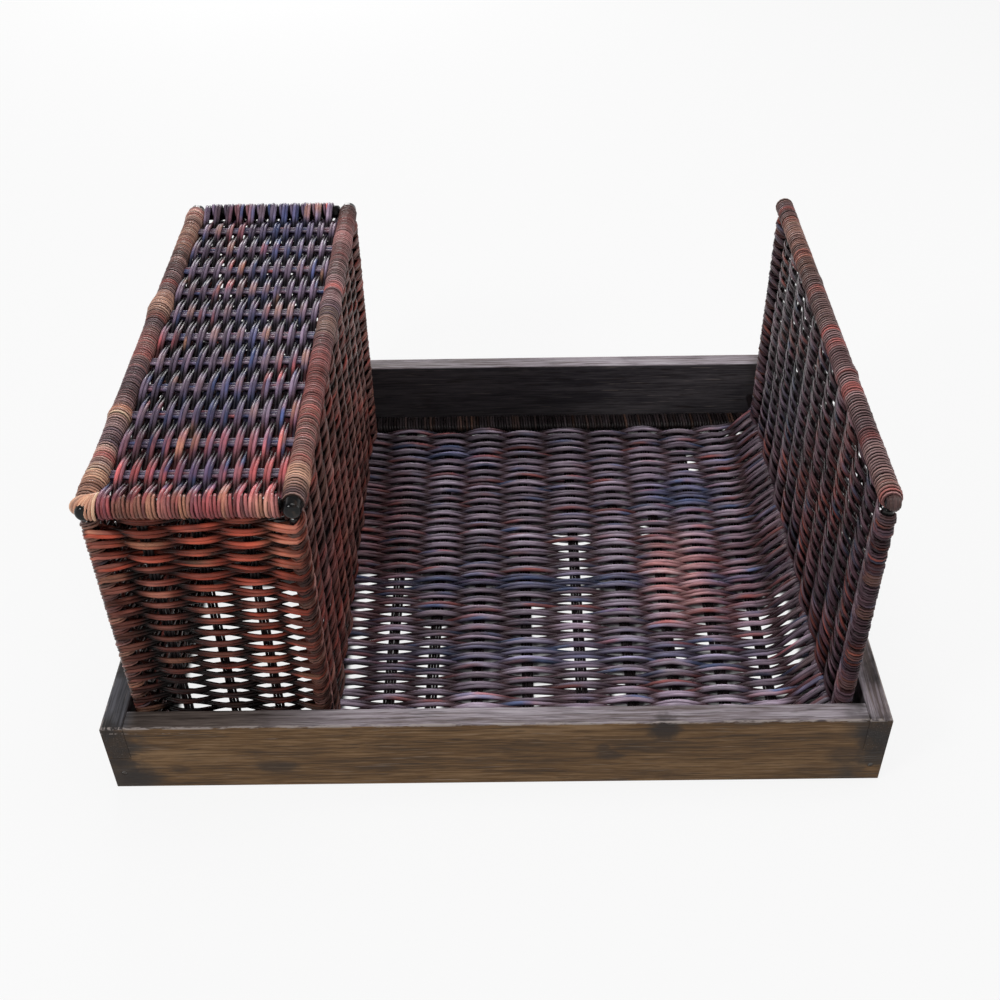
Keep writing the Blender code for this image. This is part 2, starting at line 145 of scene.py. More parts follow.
def splashes(rng, places, share, run=9.0):
    """A soft random mask over places that covers about the given share of them."""
    if share <= 0:
        return np.zeros(len(places))
    values = drift(rng, places, 1.0, run) + drift(rng, places, 0.5, run * 0.31)
    return np.clip((values - np.quantile(values, 1 - share)) / 0.5, 0, 1)


def patch(points, centre, reach):
    """A soft mask round a centre, which falls to 0 at its reach along each axis."""
    far = np.linalg.norm((points - np.array(centre)) / np.array(reach), axis=1)
    return np.clip(1.7 - 1.7 * far, 0, 1)


def spots(axis, place, thickness, rows):
    """Soft spots on a flat face across an axis, from rows of two middles, two reaches and an amount.

    The face's own place and thickness are put in along the axis. A row of dye starts with its channel.
    """
    made = []
    for *channel, first, second, wide, tall, amount in rows:
        centre, reach = [first, second], [wide, tall]
        centre.insert(axis, place)
        reach.insert(axis, thickness)
        made.append((*channel, centre, reach, amount))
    return made


def path_length(points):
    """The length of a path from its start to each of its points."""
    return np.concatenate(([0], np.cumsum(np.linalg.norm(np.diff(points, axis=0), axis=1))))


def strand_mesh(name, lines, sides):
    """Sweep a round section along each line and close its ends."""
    curve = bpy.data.curves.new(name, "CURVE")
    curve.dimensions = "3D"
    curve.bevel_depth = 1.0
    curve.bevel_resolution = sides // 2 - 2
    for line in lines:
        spline = curve.splines.new("POLY")
        spline.points.add(len(line.points) - 1)
        spline.points.foreach_set("co", np.column_stack((line.points, np.ones(len(line.points)))).ravel())
        spline.points.foreach_set("radius", line.radius)
    holder = bpy.data.objects.new(name + "_lines", curve)
    mesh = bpy.data.meshes.new_from_object(holder)
    bpy.data.objects.remove(holder)
    bpy.data.curves.remove(curve)
    bm = bmesh.new()
    bm.from_mesh(mesh)
    ends = [edge for edge in bm.edges if edge.is_boundary]
    bmesh.ops.holes_fill(bm, edges=ends, sides=sides)
    bmesh.ops.recalc_face_normals(bm, faces=bm.faces)
    bm.to_mesh(mesh)
    bm.free()
    mesh.name = name
    mesh.shade_smooth()
    return mesh


def mark_strands(mesh, lines, sides):
    """Give each vertex its place on its strand, and the strand's tone, wear, depth and dye there."""
    run = np.concatenate([path_length(line.points) for line in lines])
    starts = [np.full(len(line.points), number * STRAND_SHIFT) for number, line in enumerate(lines)]
    shift = np.concatenate(starts)
    turn = np.tile(2 * pi * np.arange(sides) / sides, len(run))
    around = STRAND * 6
    fibre = np.column_stack((np.repeat(run + shift, sides), around * np.cos(turn), around * np.sin(turn)))
    points, normal, off, reach, tone, wear, dye = (
        np.concatenate([getattr(line, title) for line in lines])
        for title in ("points", "normal", "off", "reach", "tone", "wear", "dye")
    )
    places = np.empty(len(mesh.vertices) * 3)
    mesh.vertices.foreach_get("co", places)
    away = places.reshape(-1, 3) - np.repeat(points, sides, axis=0)
    out = np.repeat(off, sides) + (away * np.repeat(normal, sides, axis=0)).sum(axis=1)
    far = np.repeat(reach, sides)
    depth = np.where(far > 0, np.abs(out) / np.maximum(far, 1e-6), PLAIN_DEPTH)
    finish = np.column_stack((np.repeat(tone, sides), np.repeat(wear, sides), depth))
    dyes = np.repeat(dye, sides, axis=0)
    for title, values in (("fibre", fibre), ("finish", finish), ("dye", dyes)):
        layer = mesh.attributes.new(title, "FLOAT_VECTOR", "POINT")
        layer.data.foreach_set("vector", values.astype(np.float32).ravel())


def strand_piece(name, lines, finish, stands_for, sides=6):
    """A piece made of strands, which stands for the named solids."""
    mesh = strand_mesh(name, lines, sides)
    mark_strands(mesh, lines, sides)
    mesh.materials.append(finish)
    piece = bpy.data.objects.new(name, mesh)
    bpy.context.scene.collection.objects.link(piece)
    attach(piece, "root")
    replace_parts(piece, *stands_for)


# Walls

def even(length, count):
    """Stakes at even places along a wall, each with its place at the foot and at the top."""
    return [(length * (number + 1) / (count + 1),) * 2 for number in range(count)]


class Wall:
    """A woven wall between two end rods. Its rows run along run and pile up along pile."""

    def __init__(
        self, start, run, pile, length, stakes, foot, height, wraps, loops, climb=None, first_front=True,
        pitch=ROW_PITCH,
    ):
        self.start, self.run, self.pile = start, run, pile
        self.normal = run.cross(pile)
        self.length, self.stakes = length, stakes
        self.foot, self.height = foot, height
        self.wraps, self.loops, self.climb = wraps, loops, climb
        self.rows = max(2, 2 * round(height / pitch / 2))
        self.pitch = height / self.rows
        self.bays = len(stakes) + 1
        self.parity = 0 if first_front else 1

    def nodes(self, level):
        """The places of the start, the stakes and the end at a level."""
        share = (level - self.foot) / self.height
        return [0.0] + [low + (high - low) * share for low, high in self.stakes] + [self.length]


class Look:
    """How a wall's strands are dyed and worn, and how they swing and thicken from place to place.

    Patches are (channel, centre, reach, amount) of dye, and in the SUN channel of painted sunlight, rubs are
    (centre, reach, amount) of wear, and shades are (centre, reach, change) of tone, mostly painted shade and
    painted light. The turn change is painted shade on the turns. Open places are (place, low, high, swing)
    with a smaller swing.
    Dips are (row from the top, place, reach, shift) of a row's level.
    """

    def __init__(
        self, swing=SWING, strand=STRAND, tone=0.5, wear=0.5, wrap_wear=0.5, red=0.12, blue=0.0, patches=(),
        rubs=(), open_places=(), dips=(), girth=None, uneven=1.0, turn_tone=0.0, shades=(),
    ):
        self.swing, self.strand, self.tone = swing, strand, tone
        self.wear, self.wrap_wear, self.red, self.blue = wear, wrap_wear, red, blue
        self.patches, self.rubs, self.open_places, self.dips = patches, rubs, open_places, dips
        self.girth, self.uneven, self.turn_tone, self.shades = girth, uneven, turn_tone, shades

    def swing_at(self, along, level):
        """The swing at a stake, less at the open places."""
        swing = self.swing
        for place, low, high, less in self.open_places:
            if abs(along - place) < 0.008 and low - 0.003 < level < high + 0.003:
                swing = min(swing, less)
        return swing


def place_on(wall, along, ahead, off, level):
    """Points from the place along a wall, the offset ahead of it, the offset off it and the level."""
    if wall.climb:
        begin, rise = wall.climb
        share = np.clip((along - begin) / (wall.length - begin), 0, 1)
        raised = rise * share ** 1.25
        slope = np.arctan(rise * 1.25 * share ** 0.25 / (wall.length - begin) * (share > 0))
    else:
        raised = slope = np.zeros_like(along)
    across = along + ahead * np.cos(slope) - off * np.sin(slope)
    out = raised + ahead * np.sin(slope) + off * np.cos(slope)
    start, run, pile, normal = (np.array(part) for part in (wall.start, wall.run, wall.pile, wall.normal))
    return start + np.outer(across, run) + np.outer(level, pile) + np.outer(out, normal)


def row(wall, number, rng, look):
    """One row: its places, offsets, levels and wear, from the wall's start to its end."""
    bays = wall.bays
    places = np.linspace(0, bays, bays * BAY_STEPS + 1)
    height = wall.foot + wall.pitch * (number + 0.5)
    nodes = wall.nodes(height)
    side = 1 if (number + wall.parity) % 2 == 0 else -1
    swings = np.array([look.swing_at(node, height) for node in nodes])
    crests = side * (-1.0) ** np.arange(bays + 1) * swings
    crests += rng.normal(0, look.swing * 0.07 * look.uneven, bays + 1)
    crests[0], crests[-1] = side * wall.wraps[0], side * (-1) ** bays * wall.wraps[1]
    low = np.minimum(places.astype(int), bays - 1)
    ease = (1 - np.cos(pi * (places - low))) / 2
    off = crests[low] + (crests[low + 1] - crests[low]) * ease
    along = np.interp(places, np.arange(bays + 1), nodes)
    level = height + drift(rng, places, wall.pitch * 0.07 * look.uneven, bays * 0.8)
    level += np.interp(places, np.arange(bays + 1), rng.normal(0, wall.pitch * 0.055 * look.uneven, bays + 1))
    for from_top, place, reach, shift in look.dips:
        if from_top == wall.rows - number:
            level += shift * np.exp(-(((along - place) / reach) ** 2))
    rubbed = rng.random(bays + 1) ** 7 * look.wear
    wear = rubbed[np.round(places).astype(int)] * np.clip(off / look.swing * 1.6 - 0.7, 0, 1)
    return along, off, level, wear


def turn_round(wall, number, at_end, low_level, high_level):
    """The samples of a strand's turn round an end rod, from one row to the next."""
    post = wall.bays if at_end else 0
    side = 1 if (number + wall.parity + post) % 2 == 0 else -1
    loops = wall.loops[1 if at_end else 0]
    radius = wall.wraps[1 if at_end else 0]
    steps = TURN_STEPS * (1 + 2 * loops)
    share = np.arange(1, steps) / steps
    angle = side * (pi / 2 - pi * (1 + 2 * loops) * share)
    ahead = radius * np.cos(angle) * (1 if at_end else -1)
    off = radius * np.sin(angle)
    quarter = 1 / (2 * (1 + 2 * loops))
    if loops:
        span = (quarter, 1 - quarter)
    else:
        span = (0, quarter) if side > 0 else (1 - quarter, 1)
    climbed = np.clip((share - span[0]) / (span[1] - span[0]), 0, 1)
    level = low_level + (high_level - low_level) * climbed
    return np.full(len(share), wall.length if at_end else 0.0), ahead, off, level


def weave(wall, seed, look):
    """The two strands of a doubled weaver, which goes to and fro over a wall and turns at its end rods."""
    rng = np.random.default_rng(seed)
    parts = []
    rows = [row(wall, number, rng, look) for number in range(wall.rows)]
    for number, (along, off, level, rub) in enumerate(rows):
        back = number % 2 == 1
        order = slice(None, None, -1) if back else slice(None)
        parts.append((along[order], np.zeros_like(along), off[order], level[order], rub[order], number))
        if number + 1 < wall.rows:
            at_end = not back
            edge = -1 if at_end else 0
            place, ahead, out, rise = turn_round(wall, number, at_end, level[edge], rows[number + 1][2][edge])
            rubbed = np.full(len(place), rng.random() ** 3 * look.wrap_wear)
            parts.append((place, ahead, out, rise, rubbed, number))
    along, ahead, off, level, rub = (np.concatenate([part[index] for part in parts]) for index in range(5))
    row_of = np.concatenate([np.full(len(part[0]), part[5]) for part in parts])
    turning = np.concatenate([np.full(len(part[0]), number % 2) for number, part in enumerate(parts)])
    count = np.arange(len(along)) / BAY_STEPS
    strand = look.strand * (1.0 if look.girth is None else look.girth(level))
    round_rod = turning == 1
    outward = np.outer(ahead, np.array(wall.run)) + np.outer(off, np.array(wall.normal))
    outward /= np.maximum(np.hypot(ahead, off), 1e-6)[:, None]
    facing = np.where(round_rod[:, None], outward, np.array(wall.normal))
    mark_off = np.where(round_rod, -0.35 * strand, off)
    mark_reach = np.where(round_rod, 0.65 * strand, look.swing + strand)
    twist = drift(rng, count, 0.35, 3.1) * strand
    lines = []
    for hand in (-1, 1):
        row_tone = rng.normal(look.tone, 0.15, wall.rows)[row_of]
        spread = np.maximum(wall.pitch * 0.235, strand * 0.9) * (1 + drift(rng, count, 0.06, 2.3))
        radius = strand * (1 + rng.normal(0, 0.05, wall.rows)[row_of] + drift(rng, count, 0.03, 1.7))
        points = place_on(wall, along, ahead, off + hand * twist, level + hand * spread)
        points[:, 2] = np.maximum(points[:, 2], GROUND_ROOM + radius)
        dye = np.zeros((len(points), 3))
        dye[:, RED] = splashes(rng, count, look.red)
        dye[:, BLUE] = splashes(rng, count, look.blue, 7.0)
        each = rng.uniform(0.55, 1.0, wall.rows)[row_of]
        for channel, centre, reach, amount in look.patches:
            dye[:, channel] += amount * each * patch(points, centre, reach)
        wear = rub.copy()
        for centre, reach, amount in look.rubs:
            wear = np.maximum(wear, amount * patch(points, centre, reach))
        # Turns round the end rods get painted shade
        shade = row_tone + drift(rng, count, 0.10, 4.7) + turning * look.turn_tone
        # Shades here are mostly painted shade and painted light
        for centre, reach, change in look.shades:
            shade = shade + change * patch(points, centre, reach)
        lines.append(Line(points, radius, shade, wear, dye, mark_off, facing, mark_reach))
    return lines


def stake_lines(wall, seed, low, high, rods=3, rod=STAKE_ROD, tone=0.32, dye=None):
    """The thin rods of each stake, side by side, from the low to the high end of a wall."""
    rng = np.random.default_rng(seed)
    lines = []
    levels = np.linspace(low, high, 16)
    for number in range(1, wall.bays):
        middles = np.array([wall.nodes(level)[number] for level in levels])
        for part in range(rods):
            beside = (part - (rods - 1) / 2) * rod * 2
            along = middles + beside + drift(rng, levels, rod * 0.15, 0.11)
            off = drift(rng, levels, rod * 0.16, 0.13)
            points = place_on(wall, along, np.zeros(16), off, levels)
            colours = np.zeros((16, 3))
            if dye:
                colours[:, BLUE] = splashes(rng, levels * 60, dye[BLUE], 3.0)
                colours[:, RED] = splashes(rng, levels * 60, dye[RED], 3.0)
            lines.append(Line(points, rod * rng.normal(1, 0.04), rng.normal(tone, 0.08), 0, colours))
    return lines


def pole_line(start, end, radius, tone=0.25):
    """A thick rod with softened ends, as a line for the sweep."""
    start, end = np.array(start), np.array(end)
    run = (end - start) / np.linalg.norm(end - start)
    soft = radius * 0.3
    ends = (0, soft * 0.35, soft)
    near = [start + run * far for far in ends]
    points = near + [end - run * far for far in ends[::-1]]
    radii = [radius * share for share in (0.62, 0.88, 1.0, 1.0, 0.88, 0.62)]
    return Line(points, np.array(radii), tone)


# Windings

def coil(
    start, axis, length, radius, seed, pitch=PEEL_PITCH, lean=0.0, swells=(), tone=0.5, wear=0.5, red=0.2,
    patches=(), rubs=(),
):
    """A close winding round a rod. Swells are (place, height, reach) of knots under the turns."""
    rng = np.random.default_rng(seed)
    turns = length / pitch
    turn = np.linspace(0, turns, int(turns * COIL_STEPS) + 1)
    angle = 2 * pi * turn
    up = Z if abs(axis.z) < 0.5 else X
    side = np.array(axis.cross(up))
    up, axis, start = np.array(up), np.array(axis), np.array(start)
    along = turn * pitch + lean * np.sin(angle) + drift(rng, turn, pitch * 0.12, 5.3)
    along = np.clip(along, 0, length)
    reach = radius + drift(rng, turn, PEEL * 0.12, 3.3) + drift(rng, turn, PEEL * 0.12, 23.0)
    for place, height, width in swells:
        reach = reach + height * np.exp(-(((along - place) / width) ** 2))
    outward = np.outer(np.cos(angle), side) + np.outer(np.sin(angle), up)
    points = start + np.outer(along, axis) + outward * reach[:, None]
    marks = np.searchsorted(np.cumsum(rng.integers(4, 22, 200)), turn)
    each = turn.astype(int)
    count = int(turns) + 2
    shade = rng.normal(tone, 0.16, 200)[marks] + rng.normal(0, 0.10, count)[each]
    rubbed = (rng.random(200) ** 2.2)[marks] * (rng.random(count) ** 0.8)[each] * wear
    grain = rng.uniform(0.3, 1.0, count)[each]
    for centre, width, amount in rubs:
        rubbed = np.maximum(rubbed, amount * grain * patch(points, centre, width))
    dye = np.zeros((len(points), 3))
    dye[:, RED] = splashes(rng, turn, red, 21.0)
    for channel, centre, width, amount in patches:
        dye[:, channel] += amount * grain * patch(points, centre, width)
    radii = PEEL * (1 + drift(rng, turn, 0.05, 1.9))
    return Line(points, radii, shade, rubbed, dye, -0.2 * PEEL, outward, 0.8 * PEEL)


def band_coil(start, axis, length, middle_gap, radius, seed, pitch, wire, tone=0.4):
    """A close winding round flat rods that lie side by side across Y."""
    rng = np.random.default_rng(seed)
    turns = int(length / pitch)
    corners = []
    for end in (1, -1):
        for step in range(7):
            angle = pi * step / 6 - pi / 2
            corners.append((end * (middle_gap + radius * cos(angle)), end * radius * sin(angle)))
    corners.append(corners[0])
    corners = np.array(corners)
    run = path_length(corners)
    turn = np.linspace(0, turns, turns * 16 + 1)
    share = (turn % 1.0) * run[-1]
    across = np.interp(share, run, corners[:, 0])
    height = np.interp(share, run, corners[:, 1])
    along = turn * length / turns + drift(rng, turn, pitch * 0.15, 4.1)
    points = np.array(start) + np.outer(np.clip(along, 0, length), np.array(axis))
    points += np.outer(across, np.array(Y)) + np.outer(height, np.array(Z))
    shade = rng.normal(tone, 0.16, turns + 2)[turn.astype(int)]
    rubbed = (rng.random(turns + 2) ** 9)[turn.astype(int)] * 0.15
    return Line(points, wire, shade, rubbed, None, wire, Z, wire * 2)


# Shader helpers

def fill(tree, node, inputs):
    """Set a node's inputs to values, or link them to sockets."""
    for name, value in inputs.items():
        socket = node.inputs[name]
        if isinstance(value, bpy.types.NodeSocket):
            tree.links.new(value, socket)
        else:
            socket.default_value = value


def put(tree, kind, inputs=None, **settings):
    """Add a shader node with its inputs and settings."""
    made = tree.nodes.new(kind)
    for name, value in settings.items():
        setattr(made, name, value)
    fill(tree, made, inputs or {})
    return made


def maths(tree, operation, first, second=0.0, clamp=False):
    """The result of a Math node."""
    return put(tree, "ShaderNodeMath", {0: first, 1: second}, operation=operation, use_clamp=clamp).outputs[0]


def times(tree, first, second):
    """The product of two values."""
    return maths(tree, "MULTIPLY", first, second)


def minus(tree, first, second):
    """The first value less the second."""
    return maths(tree, "SUBTRACT", first, second)


def blend(tree, share, first, second, kind="MIX"):
    """The colour from a Mix node."""
    made = put(tree, "ShaderNodeMix", data_type="RGBA", blend_type=kind, clamp_factor=True)
    colours = [(*value, 1.0) if isinstance(value, tuple) else value for value in (first, second)]
    fill(tree, made, {0: share, 6: colours[0], 7: colours[1]})
    return made.outputs[2]


def vector_maths(tree, operation, first, second):
    """The vector from a Vector Math node."""
    return put(tree, "ShaderNodeVectorMath", {0: first, 1: second}, operation=operation).outputs[0]


def length_of(tree, vector):
    """The length of a vector."""
    return put(tree, "ShaderNodeVectorMath", {0: vector}, operation="LENGTH").outputs["Value"]


def span(tree, value, low, high, bottom=0.0, top=1.0):
    """A clamped Map Range, smooth at both ends."""
    inputs = {"Value": value, "From Min": low, "From Max": high, "To Min": bottom, "To Max": top}
    return put(tree, "ShaderNodeMapRange", inputs, interpolation_type="SMOOTHSTEP").outputs["Result"]


def ramp(tree, value, stops):
    """A Color Ramp from (place, colour) stops."""
    made = put(tree, "ShaderNodeValToRGB", {"Fac": value})
    elements = made.color_ramp.elements
    while len(elements) < len(stops):
        elements.new(0.5)
    for element, (place, colour) in zip(elements, stops):
        element.position = place
        element.color = (*colour, 1.0)
    return made.outputs["Color"]


def tone_stops(colour):
    """Color Ramp stops from a dark to a light tone of a colour."""
    steps = ((0.05, 0.25), (0.40, 0.75), (0.65, 1.30), (0.95, 2.20))
    return [(place, tuple(min(part * share, 0.9) for part in colour)) for place, share in steps]


def noise(tree, vector, scale, detail=3.0, roughness=0.55):
    """The value of a Noise Texture."""
    inputs = {"Vector": vector, "Scale": scale, "Detail": detail, "Roughness": roughness}
    return put(tree, "ShaderNodeTexNoise", inputs).outputs["Fac"]


def object_place(tree):
    """The place of a point in its object's own coordinates."""
    return put(tree, "ShaderNodeTexCoord").outputs["Object"]


def attribute(tree, name):
    """The vector that the mesh carries under a name."""
    return put(tree, "ShaderNodeAttribute", attribute_name=name).outputs["Vector"]


def parts_of(tree, vector):
    """The X, Y and Z of a vector."""
    made = put(tree, "ShaderNodeSeparateXYZ", {0: vector})
    return [made.outputs[axis] for axis in "XYZ"]


def bump(tree, height, strength, distance):
    """The normal from a Bump node."""
    made = put(tree, "ShaderNodeBump", {"Height": height, "Strength": strength, "Distance": distance})
    return made.outputs["Normal"]


def stretched(tree, vector, scale, turn=(0, 0, 0), shift=(0, 0, 0)):
    """Coordinates scaled along each axis, then turned and shifted."""
    inputs = {"Vector": vector, "Scale": scale, "Rotation": turn, "Location": shift}
    return put(tree, "ShaderNodeMapping", inputs).outputs["Vector"]


def new_group(name, inputs, outputs):
    """A shader node group with its inputs and outputs."""
    group = bpy.data.node_groups.new(name, "ShaderNodeTree")
    for title, kind, value in inputs:
        socket = group.interface.new_socket(title, in_out="INPUT", socket_type=kind)
        if value is not None:
            socket.default_value = value
    for title, kind in outputs:
        group.interface.new_socket(title, in_out="OUTPUT", socket_type=kind)
    return group, put(group, "NodeGroupInput"), put(group, "NodeGroupOutput")


def fibre_group():
    """Long fine fibres of a strand, from its place along and round itself."""
    group, given, result = new_group(
        "Rattan fibre",
        [("Fibre", "NodeSocketVector", None), ("Fineness", "NodeSocketFloat", 1.0)],
        [("Streak", "NodeSocketFloat"), ("Blotch", "NodeSocketFloat")],
    )
    fine = vector_maths(group, "MULTIPLY", given.outputs["Fibre"], (60, 900, 900))
    broad = vector_maths(group, "MULTIPLY", given.outputs["Fibre"], (55, 25, 25))
    streak = noise(group, fine, given.outputs["Fineness"], 3.0, 0.6)
    fill(group, result, {"Streak": streak, "Blotch": noise(group, broad, 1.0, 2.0, 0.5)})
    return group


GRAIN_PARTS = ("Figure", "Grain", "Pores", "Scratches")


def grain_group():
    """Wood grain along X: broad figure, fine grain, dark pores and pale scratches."""
    group, given, result = new_group(
        "Wood grain",
        [("Vector", "NodeSocketVector", None)],
        [(title, "NodeSocketFloat") for title in GRAIN_PARTS],
    )
    place = given.outputs["Vector"]
    warp = put(group, "ShaderNodeTexNoise", {"Vector": place, "Scale": 9.0, "Detail": 2.0})
    bent = vector_maths(group, "MULTIPLY", warp.outputs["Color"], (0.0, 0.006, 0.006))
    moved = vector_maths(group, "ADD", place, bent)
    figure = noise(group, stretched(group, moved, (6, 70, 70)), 1.0, 4.0)
    grain = noise(group, stretched(group, moved, (18, 560, 560)), 1.0, 4.0, 0.7)
    pores = noise(group, stretched(group, moved, (26, 620, 620), shift=(3, 7, 5)), 1.0, 2.0, 0.6)
    scratches = noise(group, stretched(group, moved, (20, 700, 700), shift=(11, 2, 9)), 1.0, 2.0, 0.6)
    values = (figure, grain, span(group, pores, 0.58, 0.68), span(group, scratches, 0.62, 0.72))
    fill(group, result, dict(zip(GRAIN_PARTS, values)))
    return group


FIBRE = fibre_group()
GRAIN = grain_group()


def new_material(name):
    """A node material with its tree and its Principled shader."""
    material = bpy.data.materials.new(name)
    material.use_nodes = True
    tree = material.node_tree
    return material, tree, tree.nodes["Principled BSDF"]


# Finishes

TAN = (0.62, 0.30, 0.18)
STRAND_ROUGHNESS = (0.24, 0.40)


def lacquered_strand(name, base, crest_wear_and_sheen, deep, red, blue, sun, worn=TAN, shine=0.15, gap_shade=0.08):
    """Dyed and lacquered rattan: tone by strand, fibre streaks, dyes, dark gaps and rubbed lacquer.

    Base is the lacquer's own colour. The crest colour is painted sheen with some worn lacquer, and the deep
    colour and the gap factor are painted shade deep in the weave. Red and blue are the dyes' colours and sun
    is painted sunlight.
    """
    material, tree, shader = new_material(name)
    own_tone, wear, depth = parts_of(tree, attribute(tree, "finish"))
    dyes = parts_of(tree, attribute(tree, "dye"))
    fibre = attribute(tree, "fibre")
    group = put(tree, "ShaderNodeGroup", node_tree=FIBRE)
    fill(tree, group, {"Fibre": fibre})
    streak, blotch = group.outputs["Streak"], group.outputs["Blotch"]
    varied = times(tree, minus(tree, blotch, 0.5), 0.55)
    fine = times(tree, minus(tree, streak, 0.5), 1.3)
    tone = maths(tree, "ADD", own_tone, maths(tree, "ADD", varied, fine), clamp=True)
    colour = ramp(tree, tone, tone_stops(base))
    # Painted sheen on the crests, with some worn lacquer, in patches
    area = span(tree, noise(tree, object_place(tree), 26.0, 2.0), 0.35, 0.60)
    high = times(tree, span(tree, depth, 0.62, 0.98), area)
    colour = blend(tree, times(tree, high, 0.75), colour, ramp(tree, tone, tone_stops(crest_wear_and_sheen)))
    # Painted shade on the strands that lie deep in the weave
    low = times(tree, span(tree, depth, 0.55, 0.20), 0.75)
    colour = blend(tree, low, colour, ramp(tree, tone, tone_stops(deep)))
    for dye, dyed in zip(dyes, (red, blue, sun)):
        amount = times(tree, dye, span(tree, blotch, 0.25, 0.55, 0.55, 1.0))
        colour = blend(tree, amount, colour, ramp(tree, tone, tone_stops(dyed)))
    flake = span(tree, noise(tree, fibre, 700.0, 3.0), 0.40, 0.62)
    rubbed = times(tree, wear, maths(tree, "ADD", times(tree, flake, 0.6), 0.4))
    colour = blend(tree, rubbed, colour, worn)
    # Painted shade in the gaps: the deeper a strand lies in the weave, the darker it is
    colour = blend(tree, 1.0, colour, span(tree, depth, 0.08, 1.0, gap_shade, 1.0), "MULTIPLY")
    fill(tree, shader, {
        "Base Color": colour, "Roughness": span(tree, blotch, 0.3, 0.7, *STRAND_ROUGHNESS),
        "Specular IOR Level": shine, "Normal": bump(tree, streak, 0.35, 0.0004),
    })
    return material


def black_pole(name):
    """Thick rattan pole under black lacquer, with worn brown flecks and a faintly uneven skin."""
    material, tree, shader = new_material(name)
    place = object_place(tree)
    mottle = noise(tree, place, 160.0, 3.0)
    stops = [(0.35, (0.004, 0.004, 0.005)), (0.60, (0.010, 0.009, 0.009)), (0.80, (0.040, 0.026, 0.020))]
    fill(tree, shader, {
        "Base Color": ramp(tree, mottle, stops), "Roughness": span(tree, mottle, 0.3, 0.7, 0.06, 0.16),
        "Specular IOR Level": 0.20, "Normal": bump(tree, noise(tree, place, 420.0, 2.0), 0.2, 0.0004),
    })
    return material


def spot(tree, place, centre, reach):
    """A soft mask round a place, with its own reach along each axis."""
    away = vector_maths(tree, "SUBTRACT", place, centre)
    far = length_of(tree, vector_maths(tree, "DIVIDE", away, reach))
    ragged = times(tree, minus(tree, noise(tree, place, 150.0), 0.5), 0.7)
    return span(tree, maths(tree, "ADD", far, ragged), 1.4, 0.6)


def stained_wood(name, grain_turn):
    """Stained and weathered rail: olive brown outside, greyed tops, dark inside, pale worn edges."""
    material, tree, shader = new_material(name)
    place = object_place(tree)
    turned = stretched(tree, place, (1, 1, 1), (0, 0, grain_turn))
    group = put(tree, "ShaderNodeGroup", node_tree=GRAIN)
    fill(tree, group, {"Vector": turned})
    figure, grain, pores, scratches = (group.outputs[title] for title in GRAIN_PARTS)
    tone = maths(tree, "ADD", times(tree, figure, 0.40), times(tree, grain, 0.60))
    stops = (BROWN_STOPS, GREY_STOPS, SLATE_STOPS, UMBER_STOPS, DARK_STOPS)
    brown, grey, slate, umber, dark = (ramp(tree, tone, stop) for stop in stops)
    across, along, height = parts_of(tree, place)
    wide, deep = maths(tree, "ABSOLUTE", across), maths(tree, "ABSOLUTE", along)
    top = span(tree, height, TOP_EDGE - 0.0012, TOP_EDGE - 0.0004)
    inside_x = span(tree, wide, INNER_X + 0.0006, INNER_X + 0.0002)
    inside = times(tree, inside_x, span(tree, deep, INNER_Y + 0.0006, INNER_Y + 0.0002))
    colour = blend(tree, inside, brown, dark)
    left = span(tree, across, -INNER_X + 0.01, -INNER_X - 0.004)
    faded = blend(tree, span(tree, across, -0.08, -0.22), grey, umber)
    colour = blend(tree, top, colour, blend(tree, left, faded, slate))
    grime = noise(tree, stretched(tree, place, (1, 1, 1.6)), 24.0, 4.0)
    colour = blend(tree, span(tree, grime, 0.56, 0.78, 0.0, 0.40), colour, GRIME)
    ends = span(tree, wide, OUTER_X - 0.045, OUTER_X - 0.018)
    low = times(tree, span(tree, height, TOP_EDGE, 0.0), 0.12)
    weathered = times(tree, ends, span(tree, maths(tree, "ADD", grime, low), 0.44, 0.60))
    colour = blend(tree, times(tree, weathered, 0.85), colour, WEATHERED)
    for centre, reach, strength in STAINS:
        mask = times(tree, spot(tree, place, centre, reach), strength)
        colour = blend(tree, mask, colour, STAIN)
    colour = blend(tree, times(tree, pores, 0.62), colour, PORE)
    pale = blend(tree, 0.35, colour, SCRATCH)
    colour = blend(tree, times(tree, scratches, 0.55), colour, pale)
    outer = maths(tree, "MAXIMUM", minus(tree, wide, OUTER_X), minus(tree, deep, OUTER_Y))
    near = put(tree, "ShaderNodeCombineXYZ", {0: outer, 1: minus(tree, height, TOP_EDGE)})
    rim = length_of(tree, near.outputs[0])
    chipped = noise(tree, stretched(tree, turned, (60, 300, 300)), 1.0, 3.0, 0.7)
    worn = times(tree, span(tree, rim, 0.0022, 0.0010), span(tree, chipped, 0.42, 0.56))
    colour = blend(tree, times(tree, worn, 0.85), colour, WORN_EDGE)
    wander = maths(tree, "ADD", TOP_EDGE - 0.0068, times(tree, chipped, 0.0012))
    line = span(tree, maths(tree, "ABSOLUTE", minus(tree, height, wander)), 0.0006, 0.0002)
    streak = times(tree, span(tree, across, -0.235, -0.262), span(tree, chipped, 0.50, 0.58))
    colour = blend(tree, times(tree, times(tree, line, streak), 0.8), colour, SCORED)
    relief = minus(tree, tone, times(tree, pores, 0.3))
    fill(tree, shader, {
        "Base Color": colour, "Roughness": span(tree, tone, 0.35, 0.65, 0.46, 0.66),
        "Specular IOR Level": 0.18, "Normal": bump(tree, relief, 0.45, 0.0009),
    })
    return material


def dull_steel(name):
    """Nail heads: dull steel with brown rust freckles."""
    material, tree, shader = new_material(name)
    place = object_place(tree)
    rust = span(tree, noise(tree, place, 900.0, 3.0), 0.42, 0.62)
    fill(tree, shader, {
        "Base Color": blend(tree, rust, (0.10, 0.095, 0.09), (0.030, 0.016, 0.010)),
        "Metallic": maths(tree, "SUBTRACT", 1.0, rust, clamp=True),
        "Roughness": span(tree, rust, 0.0, 1.0, 0.38, 0.8),
    })
    return material


